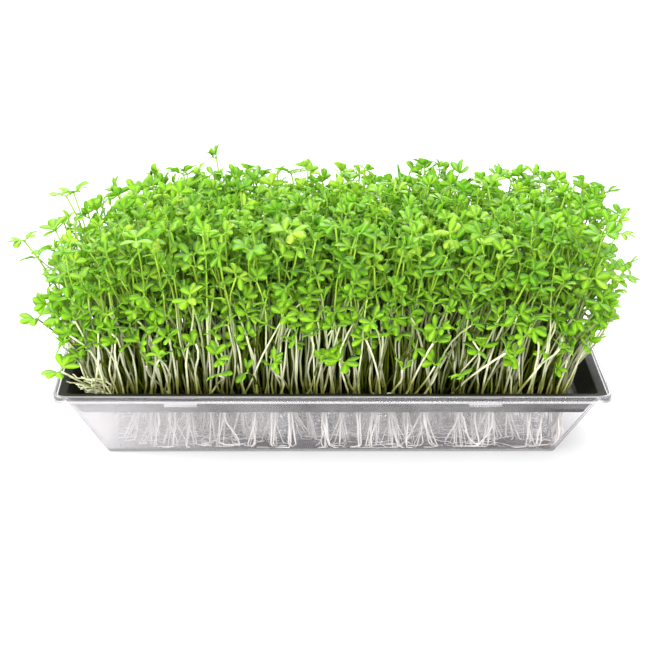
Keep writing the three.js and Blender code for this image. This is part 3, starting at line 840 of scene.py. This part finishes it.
def root_parts(column, rng):
    """Bunches of root strands that hang from the insert's holes, and strands felted on the floor.
    They thin out towards the tray's ends."""
    paths, radii = [], []
    low_x = (column - TUFT_COLUMNS / 2) * TUFT_PITCH_X
    fall = np.linspace(0, 1, ROOT_STATIONS)
    drop_height = INSERT_BOTTOM + 0.4
    for _ in range(BUNCHES):
        hole_x = low_x + (rng.integers(0, CELLS_EACH_WAY) + 0.5) * TUFT_PITCH_X / CELLS_EACH_WAY
        row = rng.integers(1, TUFT_ROWS * CELLS_EACH_WAY - 1)
        hole_y = (row + 0.5) * TUFT_PITCH_Y / CELLS_EACH_WAY
        middle = np.array([hole_x, hole_y - TUFT_ROWS * TUFT_PITCH_Y / 2])
        if rng.random() * ROOT_FADE < abs(middle[0]) - ROOT_FULL_X:
            continue
        lean = rng.normal(0, BUNCH_LEAN, 2)
        for _ in range(rng.integers(*BUNCH_STRANDS)):
            start = middle + rng.normal(0, 0.7, 2)
            landing = rng.uniform(0.6, 1.0)
            foot = middle + lean + rng.normal(0, STRAND_SCATTER, 2)
            down = np.clip(fall / landing, 0, 1)
            lowest = TUB_FLOOR + rng.uniform(0.5, 2.4)
            z = drop_height + (lowest - drop_height) * down ** 0.9
            flat = start + (foot - start) * (down ** 1.3)[:, None]
            flat = flat + np.sin(fall * np.pi * 2)[:, None] * rng.normal(0, 0.6, 2)
            flat = flat + np.clip(fall - landing, 0, 1)[:, None] * rng.normal(0, STRAND_DRIFT, 2)
            paths.append(np.column_stack([flat, z]))
            size = rng.choice(STRAND_RADII, p=STRAND_SHARES)
            radii.append(size * np.linspace(1.15, 0.6, ROOT_STATIONS))
    for _ in range(FLOOR_STRANDS):
        start = np.array([low_x + rng.uniform(0, TUFT_PITCH_X),
                          rng.uniform(-FLOOR_HALF_WIDTH, FLOOR_HALF_WIDTH)])
        if rng.random() * ROOT_FADE < abs(start[0]) - ROOT_FULL_X:
            continue
        heading = rng.choice([0, np.pi]) + np.cumsum(rng.normal(0, 0.4, ROOT_STATIONS))
        step = rng.uniform(1.6, 3.4)
        flat = start + np.cumsum(np.stack([np.cos(heading), np.sin(heading)], 1) * step, axis=0)
        lowest = TUB_FLOOR + 0.5 + rng.random() * 2
        z = lowest + np.abs(np.cumsum(rng.normal(0, 0.5, ROOT_STATIONS)))
        paths.append(np.column_stack([flat, z]))
        radii.append(np.full(ROOT_STATIONS, rng.uniform(*FLOOR_RADII)))
    paths, radii = np.array(paths), np.array(radii)
    inset = inner_wall_inset(paths[..., 2]) + radii + WALL_GAP
    paths[..., 0] = np.clip(paths[..., 0], inset - RIM_HALF_X, RIM_HALF_X - inset)
    paths[..., 1] = np.clip(paths[..., 1], inset - RIM_HALF_Y, RIM_HALF_Y - inset)
    return tubes(paths, radii, STRAND_SIDES)


# Seed layer

HULL_SEED = 83
BED_STEP = 1.6
HULLS = 800
HULL_SIZES = ((1.1, 1.7), (0.5, 0.8), (0.25, 0.5))
CAP_SIZE = (1.3, 0.75, 0.6)


def make_seed_bed():
    """The seed layer: a lumpy bed of root felt, with empty seed hulls strewn on it."""
    rng = np.random.default_rng(HULL_SEED)
    half_x, half_y = mat_high[0] - 0.4, mat_high[1] - 0.4
    xs = np.linspace(-half_x, half_x, int(2 * half_x / BED_STEP))
    ys = np.linspace(-half_y, half_y, int(2 * half_y / BED_STEP))
    grid_x, grid_y = np.meshgrid(xs, ys, indexing="ij")
    rough = rng.normal(0, 1, grid_x.shape)
    for _ in range(2):
        rough = (rough + np.roll(rough, 1, 0) + np.roll(rough, 1, 1) + np.roll(rough, -1, 0)) / 2.6
    edge = np.minimum(half_x - np.abs(grid_x), half_y - np.abs(grid_y))
    height = MAT_TOP - 0.2 + 0.35 * rough - 1.7 * np.exp(-edge / 1.2)
    height = np.clip(height, mat_low[2] + 0.3, MAT_TOP + 1.2)
    top = np.stack([grid_x, grid_y, height], -1)
    bottom = np.stack([grid_x, grid_y, np.full_like(height, mat_low[2])], -1)
    points = np.concatenate([top.reshape(-1, 3), bottom.reshape(-1, 3)])
    n, m = grid_x.shape
    index = np.arange(n * m).reshape(n, m)
    quads = np.stack([index[:-1, :-1], index[1:, :-1], index[1:, 1:], index[:-1, 1:]], -1)
    rim = np.concatenate([index[:, 0], index[-1, 1:], index[-2::-1, -1], index[0, -2:0:-1]])
    rim_next = np.roll(rim, -1)
    wall = np.stack([rim + n * m, rim_next + n * m, rim_next, rim], -1)
    bed = (points, [quads.reshape(-1, 4), wall, rim[None, ::-1] + n * m])
    hulls, hull_tones = hull_shells(rng, half_x, half_y)
    all_points, faces = joined([bed, hulls])
    tone = np.concatenate([np.full(len(points), 0.2), hull_tones])
    return mesh_piece("seed_bed", all_points, faces, tone=tone)


def hull(size, curl, turn, place):
    """One small pointed oval, like a split seed hull. turn is a 3 by 3 matrix."""
    rings, sides = 5, 6
    s = np.linspace(0, 1, rings + 2)[1:-1]
    around = np.arange(sides) / sides * 2 * np.pi
    length, width, thick = size
    swell = np.sin(s * np.pi) ** 0.8
    body = np.stack([
        np.repeat((2 * s - 1) * length, sides), np.outer(swell, np.cos(around)).ravel() * width,
        np.outer(swell, np.sin(around)).ravel() * thick,
    ], 1)
    body = np.concatenate([body, [[-length, 0, 0], [length, 0, 0]]])
    body[:, 2] += 0.25 * body[:, 0] ** 2 * curl
    point = np.arange(rings * sides).reshape(rings, sides)
    after = np.roll(point, -1, axis=1)
    first = np.stack([after[0], point[0], np.full(sides, rings * sides)], -1)
    last = np.stack([point[-1], after[-1], np.full(sides, rings * sides + 1)], -1)
    return body @ np.array(turn).T + place, [between(point), first, last]


def hull_shells(rng, half_x, half_y):
    """Empty hulls, lying at all angles on the bed, with a tone for each point."""
    groups, tones = [], []
    for _ in range(HULLS):
        size = [rng.uniform(*span) for span in HULL_SIZES]
        turn = Matrix.Rotation(rng.uniform(0, 2 * math.pi), 3, "Z") @ Matrix.Rotation(
            rng.normal(0, 0.4), 3, "Y") @ Matrix.Rotation(rng.normal(0, 0.5), 3, "X")
        place = (rng.uniform(-half_x + 2, half_x - 2), rng.uniform(-half_y + 2, half_y - 2),
                 MAT_TOP + rng.uniform(-0.1, 0.5))
        groups.append(hull(size, rng.uniform(-1, 1), turn, place))
        tones.append(np.full(len(groups[-1][0]), rng.uniform(0.3, 1)))
    return joined(groups), np.concatenate(tones)


def make_seed_caps(caps):
    """Hulls that still sit on the tips of a few leaves."""
    groups = []
    for tip, way in caps:
        turn = Vector(way).to_track_quat("X", "Z").to_matrix()
        groups.append(hull(CAP_SIZE, 0, turn, tip - way * 0.5))
    points, faces = joined(groups)
    return mesh_piece("seed_caps", points, faces, tone=np.full(len(points), 0.35))


WITHERED_SEED = 29
WITHERED_LEFT = 13
WITHERED_ALONG = 26
WITHERED_STATIONS = 22
WITHERED_SIDES = 6
WITHERED_RADII = (0.62, 0.34)
WITHERED_HEIGHTS = (5, 30)

# Spans of x, y and z for those that curl over the left end, and of the run of those along the edges
LEFT_STARTS = ((-113, -100), (-38, -22))
LEFT_ENDS = ((-130, -113), (-56, -41), (39, 45))
EDGE_SPAN = (-110, 104)
EDGE_ROW = (31, 37)
EDGE_RUNS = ((-12, 12), (-1, 1), (0.8, 4))


def make_withered_stems():
    """Wilted seedlings: thin stems that curl at the left end, and lie along the bed's edges."""
    rng = np.random.default_rng(WITHERED_SEED)
    paths, radii, tones = [], [], []
    along = np.linspace(0, 1, WITHERED_STATIONS)
    for number in range(WITHERED_LEFT + WITHERED_ALONG):
        at_left = number < WITHERED_LEFT
        if at_left:
            start = np.array([*(rng.uniform(*span) for span in LEFT_STARTS), MAT_TOP - 0.5])
            end = [rng.uniform(*span) for span in LEFT_ENDS]
        else:
            x = rng.uniform(*EDGE_SPAN)
            start = np.array([x, rng.choice([-1, 1]) * rng.uniform(*EDGE_ROW), MAT_TOP - 0.3])
            end = start + [rng.uniform(*span) for span in EDGE_RUNS]
        bend = rng.uniform(0, 2 * np.pi) + along * rng.uniform(3, 9) * rng.choice([-1, 1])
        loop = rng.uniform(*((1.8, 3.6) if at_left else (1.2, 2.8))) * np.sin(along * np.pi)
        path = start + (end - start) * along[:, None]
        path[:, 0] += loop * np.cos(bend)
        path[:, 1] += 0.5 * loop * np.sin(bend)
        path[:, 2] += (0.9 if at_left else 0.4) * loop * np.abs(np.sin(bend))
        paths.append(path)
        radii.append(np.linspace(*WITHERED_RADII, WITHERED_STATIONS) * rng.uniform(0.75, 1.1))
        tones.append(rng.uniform(0, 0.8))
    points, faces = tubes(np.array(paths), np.array(radii), WITHERED_SIDES)
    heights = np.repeat(np.linspace(*WITHERED_HEIGHTS, WITHERED_STATIONS), WITHERED_SIDES)
    marks = {"height": np.tile(heights, len(paths)), "tone": np.repeat(tones, len(heights))}
    return mesh_piece("withered_stems", points, faces, **marks)


# Materials

# The clear plastic by height, as (millimetres, number): haze of the flat wall, of the band that the
# insert's wall leaves and of the thick bends, which paints the light and shade of light bent there,
# reach of the painted light on the left end, and how white the haze is, darker at the base edge,
# the lip and the bead as painted shade
WALL_HAZE = ((0, 0.45), (7, 0.45), (12, 1), (34.3, 1), (34.6, 0), (36.3, 0), (36.5, 1), (37, 1))
INSERT_BAND = ((0, 0), (26, 0), (28, 0.8), (34.3, 0.8), (37, 0.8))
BENT_LIGHT_HAZE = ((0, 0.6), (0.8, 0.3), (1.6, 0), (33, 0), (33.2, 0.38), (34.3, 0.3), (34.6, 0),
             (36.3, 0), (36.5, 0.8), (37, 0.85))
LEFT_LIGHT_HEIGHTS = ((0, 1), (34.3, 1), (34.6, 0), (37, 0))
HAZE_WHITENESS_AND_SHADE = ((0, 0.25), (1.2, 0.5), (2, 0.75), (32.4, 0.75), (33, 0.5), (34.5, 0.42),
             (36.1, 0.3), (36.4, 0.18), (37, 0.2))


def paint(code):
    """A linear colour from an sRGB hex code."""
    parts = [int(code[i:i + 2], 16) / 255 for i in (1, 3, 5)]
    linear = [p / 12.92 if p <= 0.04045 else ((p + 0.055) / 1.055) ** 2.4 for p in parts]
    return (*linear, 1)


def painted(*stops):
    return [(place, paint(code)) for place, code in stops]


def add(tree, kind, links, out=0, stops=(), **settings):
    """Adds a node and gives one of its outputs. links maps a socket, by name or number, to a value
    or to an output that feeds it. stops are a colour ramp's places and colours."""
    node = tree.nodes.new("ShaderNode" + kind)
    for name, value in settings.items():
        setattr(node, name, value)
    for socket, value in links.items():
        if isinstance(value, bpy.types.NodeSocket):
            tree.links.new(value, node.inputs[socket])
        else:
            node.inputs[socket].default_value = value
    if stops:
        elements = node.color_ramp.elements
        while len(elements) < len(stops):
            elements.new(0.5)
        for element, (place, colour) in zip(elements, stops):
            element.position = place
            element.color = colour
    return node.outputs[out]


def made_of(surface):
    """A material named for what it is. surface adds its nodes to a tree and gives the shader."""
    material = bpy.data.materials.new(surface.__name__)
    material.use_nodes = True
    tree = material.node_tree
    tree.nodes.clear()
    shader = surface(tree)
    tree.links.new(shader, tree.nodes.new("ShaderNodeOutputMaterial").inputs["Surface"])
    return material


def grain(tree, size_mm, detail=2):
    """Noise with features of a real size."""
    place = add(tree, "TexCoord", {}, "Object")
    links = {"Vector": place, "Scale": 1 / (size_mm * MM), "Detail": detail}
    return add(tree, "TexNoise", links, "Fac")


def patches(tree, size_mm, low, high, reach=0.2, detail=2):
    """A number that wanders from low to high over patches of a real size. A smaller reach makes
    their edges harder."""
    noise = grain(tree, size_mm, detail)
    return add(tree, "MapRange", {0: noise, 1: 0.5 - reach, 2: 0.5 + reach, 3: low, 4: high})


def relief(tree, size_mm, depth_mm, strength=1.0, detail=2):
    """Small bumps of a real size and depth."""
    height = grain(tree, size_mm, detail)
    return add(tree, "Bump", {"Height": height, "Distance": depth_mm * MM, "Strength": strength})


def level_of(tree, stops):
    """A number by height in the tray, through stops of (millimetres, number)."""
    z = add(tree, "SeparateXYZ", {0: add(tree, "TexCoord", {}, "Object")}, "Z")
    top = stops[-1][0]
    share = add(tree, "MapRange", {0: z, 1: 0, 2: top * MM, 3: 0, 4: 1})
    greys = [(height / top, (number, number, number, 1)) for height, number in stops]
    return add(tree, "ValToRGB", {0: share}, stops=greys)


def lit_through(tree, skin, glow_colour, share):
    """Skin that lets a share of the light through, as thin living tissue does."""
    glow = add(tree, "BsdfTranslucent", {"Color": glow_colour})
    return add(tree, "MixShader", {0: share, 1: skin, 2: glow})


def cress_leaf_tissue(tree):
    """Seed-leaf tissue: soft, thin and waxy, so light shows through it and its face has a sheen.
    It is yellower low in the stand, partly the paler colour of shaded young leaves and partly
    painted light that lifts the low leaves. It is paler along the rib and underneath."""
    tone = add(tree, "Attribute", {}, "Fac", attribute_name="tone")
    tone = add(tree, "Math", {0: tone, 1: patches(tree, 1.6, -0.1, 0.1)}, operation="ADD")
    # Yellower low in the stand: partly the shaded young leaves' own colour, partly painted light on
    # the low leaves
    low = level_of(tree, ((0, 0.75), (62, 0.75), (100, 0), (125, 0)))
    across = add(tree, "Attribute", {}, "Fac", attribute_name="across")
    rib = add(tree, "MapRange", {0: across, 1: 0, 2: 0.3, 3: 0.35, 4: 0})
    under = add(tree, "Attribute", {}, "Fac", attribute_name="under")
    under = add(tree, "MapRange", {0: under, 1: 0, 2: 1, 3: 0, 4: 0.3})
    greens = painted((0, "#649f06"), (0.5, "#7db014"), (0.97, "#92bf26"), (1, "#b0cc3c"))
    face = add(tree, "ValToRGB", {0: tone}, stops=greens)
    for share, colour in ((low, "#94c60c"), (rib, "#b4d454"), (under, "#a3c548")):
        face = add(tree, "Mix", {0: share, 6: face, 7: paint(colour)}, 2, data_type="RGBA")
    shine = add(tree, "ValToRGB", {0: tone}, stops=painted((0, "#96d400"), (1, "#aede06")))
    shine = add(tree, "Mix", {0: low, 6: shine, 7: paint("#b4ec00")}, 2, data_type="RGBA")
    skin = add(tree, "BsdfPrincipled", {
        "Base Color": face, "Roughness": patches(tree, 0.9, 0.42, 0.58), "IOR": 1.42,
        "Specular IOR Level": 0.38, "Sheen Weight": 0.14, "Sheen Roughness": 0.45,
        "Normal": relief(tree, 0.7, 0.06),
    })
    return lit_through(tree, skin, shine, 0.46)


def cress_stem_tissue(tree):
    """Watery stem tissue: olive at the foot, cream white in the shade of the leaves, green above.
    The foot's dark olive is partly the stems' own colour and partly painted shade. Stems inside
    the stand are darker with painted shade."""
    height = add(tree, "Attribute", {}, "Fac", attribute_name="height")
    height = add(tree, "MapRange", {0: height, 1: 0, 2: STEM_GREEN_FROM, 3: 0, 4: 1})
    level = add(tree, "Math", {0: height, 1: patches(tree, 7, -0.06, 0.06)}, operation="ADD")
    # Dark olive at the foot: partly the stems' own colour, partly painted shade
    bands = painted((0, "#6a6426"), (0.1, "#a9ac5c"), (0.24, "#f8f8da"), (0.5, "#eef3c2"),
                    (0.72, "#a6ca40"), (1, "#90bc28"))
    colour = add(tree, "ValToRGB", {0: level}, stops=bands)
    # The colour of painted shade for stems inside the stand, which fades upwards
    shaded = add(tree, "Mix", {0: 1, 6: colour, 7: paint("#5e6e10")}, 2,
                 data_type="RGBA", blend_type="MULTIPLY")
    tone = add(tree, "Attribute", {}, "Fac", attribute_name="tone")
    inner_painted_shade = add(tree, "MapRange", {0: tone, 1: 0.4, 2: 1, 3: 0, 4: 1})
    below = add(tree, "MapRange", {0: height, 1: 0.45, 2: 0.85, 3: 1, 4: 0.25})
    inner_painted_shade = add(tree, "Math", {0: inner_painted_shade, 1: below}, operation="MULTIPLY")
    colour = add(tree, "Mix", {0: inner_painted_shade, 6: colour, 7: shaded}, 2, data_type="RGBA")
    skin = add(tree, "BsdfPrincipled", {
        "Base Color": colour, "Roughness": patches(tree, 1.2, 0.3, 0.45), "IOR": 1.4,
        "Normal": relief(tree, 0.8, 0.05),
    })
    return lit_through(tree, skin, colour, 0.25)


def cress_root_strands(tree):
    """Wet root strands: white and a little glassy, greyer where felt gathers."""
    whites = painted((0.3, "#dedad4"), (0.7, "#f4f2ee"))
    colour = add(tree, "ValToRGB", {0: grain(tree, 5)}, stops=whites)
    skin = add(tree, "BsdfPrincipled", {
        "Base Color": colour, "Roughness": patches(tree, 1, 0.35, 0.55), "IOR": 1.38,
        "Normal": relief(tree, 0.6, 0.05),
    })
    return lit_through(tree, skin, colour, 0.15)


def damp_seed_hulls(tree):
    """Damp seed hulls and felt: matt, from black brown to reddish brown, with wet glints."""
    tone = add(tree, "Attribute", {}, "Fac", attribute_name="tone")
    tone = add(tree, "Math", {0: tone, 1: patches(tree, 2.2, -0.2, 0.2)}, operation="ADD")
    browns = painted((0, "#15100a"), (0.3, "#2a1d10"), (0.65, "#5a3a1a"), (1, "#8a6a2c"))
    return add(tree, "BsdfPrincipled", {
        "Base Color": add(tree, "ValToRGB", {0: tone}, stops=browns),
        "Roughness": patches(tree, 1.5, 0.45, 0.85, 0.15), "Normal": relief(tree, 0.6, 0.25, 1, 4),
    })


def formed_clear_plastic(tree):
    """Thin formed clear PET: see-through with a milky haze. It is whiter at the lip, grey along the
    bead and the upright corners and dark along the base edge, where it is thick and bends the
    light:
    painted light and shade. A white haze over its left end is painted light from the left."""
    x = add(tree, "SeparateXYZ", {0: add(tree, "TexCoord", {}, "Object")}, "X")
    from_middle = add(tree, "Math", {0: x}, operation="ABSOLUTE")
    ends = add(tree, "MapRange", {0: from_middle, 1: 88 * MM, 2: 120 * MM, 3: 1, 4: 0.15})
    ends = add(tree, "Math", {0: ends, 1: level_of(tree, INSERT_BAND)}, operation="MAXIMUM")
    # Painted light: a white haze over the left end stands for the light that falls in from the left
    painted_left_light = add(tree, "MapRange", {0: x, 1: -35 * MM, 2: -108 * MM, 3: 0.05, 4: 0.34})
    painted_left_light = add(tree, "Math", {0: painted_left_light, 1: level_of(tree, LEFT_LIGHT_HEIGHTS)}, operation="MULTIPLY")
    flat = add(tree, "Math", {0: level_of(tree, WALL_HAZE), 1: ends}, operation="MULTIPLY")
    # Haze on the thick bends: painted light and shade of light bent there, white at the lip, grey
    # at the bead, dark along the base edge
    bends = level_of(tree, BENT_LIGHT_HAZE)
    cover = patches(tree, 26, 0.09, 0.17, 0.15, 3)
    for operation, number in (("MULTIPLY", flat), ("ADD", bends), ("MAXIMUM", painted_left_light)):
        cover = add(tree, "Math", {0: cover, 1: number}, operation=operation)
    # The haze's colour is darker at the base edge, the lip and the bead: painted shade
    haze_colour_and_shade = {0: level_of(tree, HAZE_WHITENESS_AND_SHADE), 6: paint("#000000"), 7: paint("#fffdff")}
    skin = add(tree, "BsdfPrincipled", {
        "Base Color": add(tree, "Mix", haze_colour_and_shade, 2, data_type="RGBA"),
        "Roughness": patches(tree, 18, 0.08, 0.2), "IOR": 1.57,
        "Normal": relief(tree, 9, 0.08, 0.5),
    })
    facing = add(tree, "LayerWeight", {"Blend": 0.3}, "Facing")
    grazing = add(tree, "MapRange", {0: facing, 1: 0.6, 2: 1, 3: 0, 4: 0.3})
    # The corner mark greys the see-through tint at the upright corners: painted shade of light bent
    # there
    corner = add(tree, "Attribute", {}, "Fac", attribute_name="corner")
    edge = add(tree, "Math", {0: grazing, 1: corner}, operation="MAXIMUM")
    tint = {0: edge, 6: paint("#fdfcfd"), 7: paint("#b6b4b8")}
    clear = add(tree, "BsdfTransparent", {"Color": add(tree, "Mix", tint, 2, data_type="RGBA")})
    return add(tree, "MixShader", {0: cover, 1: clear, 2: skin})


def formed_black_plastic(tree):
    """Formed black polystyrene: charcoal with a fine leathery grain that breaks its soft shine."""
    blacks = painted((0.3, "#0c0b09"), (0.7, "#171411"))
    return add(tree, "BsdfPrincipled", {
        "Base Color": add(tree, "ValToRGB", {0: grain(tree, 8)}, stops=blacks),
        "Roughness": patches(tree, 0.6, 0.55, 0.75, detail=4), "IOR": 1.59,
        "Specular IOR Level": 0.16, "Normal": relief(tree, 0.6, 0.12, 0.6, 4),
    })


def pale_backdrop_paper(tree):
    """Matt pale paper, lit strongly enough to look white, with a faint glow of its own."""
    greys = painted((0.3, "#a6a6a6"), (0.7, "#aaaaaa"))
    return add(tree, "BsdfPrincipled", {
        "Base Color": add(tree, "ValToRGB", {0: grain(tree, 120)}, stops=greys),
        "Roughness": 0.8, "Emission Color": (1, 1, 1, 1), "Emission Strength": 0.32,
    })


# Camera, light and floor, in metres

FLOOR_SIDE = 14
FLOOR_PLACE = (0, 3, -0.0004)
LAMP_AIM_HEIGHT = 0.06
SURROUND_STRENGTH = 1.15
# Name, place, size in metres and power in watts
LAMPS = (
    ("key", (-1.3, -0.3, 0.85), 1.3, 38),
    ("front", (0.3, -1.25, 0.85), 1.4, 35),
    ("back", (0.2, 1.1, 1.1), 1.6, 40),
)


def place_camera():
    yaw, pitch, roll = (math.radians(a) for a in (CAMERA_YAW, CAMERA_PITCH, CAMERA_ROLL))
    ahead = math.cos(pitch)
    forward = Vector((math.sin(yaw) * ahead, math.cos(yaw) * ahead, -math.sin(pitch)))
    level = Vector((math.cos(yaw), -math.sin(yaw), 0))
    upright = level.cross(forward)
    right = level * math.cos(roll) + upright * math.sin(roll)
    up = upright * math.cos(roll) - level * math.sin(roll)
    data = bpy.data.cameras.new("camera")
    data.sensor_width = SENSOR_WIDTH
    data.lens = FOCAL_PIXELS / IMAGE_SIDE * SENSOR_WIDTH
    data.clip_end = 50
    camera = bpy.data.objects.new("camera", data)
    turn = Matrix((right, up, -forward)).transposed().to_4x4()
    camera.matrix_world = Matrix.Translation(Vector(CAMERA_PLACE) * MM) @ turn
    bpy.context.scene.collection.objects.link(camera)
    bpy.context.scene.camera = camera


def area_light(name, place, size, power):
    data = bpy.data.lights.new(name, "AREA")
    data.shape = "DISK"
    data.size = size
    data.energy = power
    light = bpy.data.objects.new(name, data)
    light.location = place
    aim = Vector((0, 0, LAMP_AIM_HEIGHT)) - Vector(place)
    light.rotation_euler = aim.to_track_quat("-Z", "Y").to_euler()
    bpy.context.scene.collection.objects.link(light)


def set_stage():
    """A wide pale floor, a white surround, and soft lamps to the left, in front and behind."""
    bpy.ops.mesh.primitive_grid_add(
        x_subdivisions=4, y_subdivisions=4, size=FLOOR_SIDE, location=FLOOR_PLACE)
    floor = bpy.context.object
    floor.name = "floor"
    floor.data.materials.append(made_of(pale_backdrop_paper))
    for lamp in LAMPS:
        area_light(*lamp)
    world = bpy.data.worlds.new("surround")
    world.use_nodes = True
    background = world.node_tree.nodes["Background"]
    background.inputs["Color"].default_value = (1, 1, 1, 1)
    background.inputs["Strength"].default_value = SURROUND_STRENGTH
    scene = bpy.context.scene
    scene.world = world
    scene.view_settings.view_transform = "Standard"
    scene.view_settings.look = "None"


# The whole tray

place_camera()
set_stage()

plastic = made_of(formed_clear_plastic)
finish_piece(make_tub(), plastic, ["tub"])
finish_piece(make_tabs(), plastic, ["tub"])
finish_piece(make_insert(), made_of(formed_black_plastic), ["insert"])
husk = made_of(damp_seed_hulls)
finish_piece(make_seed_bed(), husk, ["seed_mat"])

plans = fill_seedlings(cad_seedlings())
leaf = made_of(cress_leaf_tissue)
stem = made_of(cress_stem_tissue)
root = made_of(cress_root_strands)
caps = []
for column in range(TUFT_COLUMNS):
    rng = np.random.default_rng([ROOT_SEED, column])
    low_x = (column - TUFT_COLUMNS / 2) * TUFT_PITCH_X
    last = column == TUFT_COLUMNS - 1
    ours = [plan for plan in plans if (plan["base"][0] >= low_x or column == 0)
            and (plan["base"][0] < low_x + TUFT_PITCH_X or last)]
    tufts = [f"tuft_{row * TUFT_COLUMNS + column + 1:02d}" for row in range(TUFT_ROWS)]
    number = f"{column + 1:02d}"
    points, faces, marks, found = leaf_parts(ours, rng)
    caps += found
    leaves = mesh_piece(f"leaves_{number}", points, faces, **marks)
    finish_piece(leaves, leaf, tufts)
    points, faces, marks = stem_parts(ours, rng)
    stems = mesh_piece(f"stems_{number}", points, faces, **marks)
    finish_piece(stems, stem, tufts)
    points, faces = root_parts(column, rng)
    roots = mesh_piece(f"roots_{number}", points, faces)
    finish_piece(roots, root, tufts)

finish_piece(make_seed_caps(caps), husk)
finish_piece(make_withered_stems(), stem)
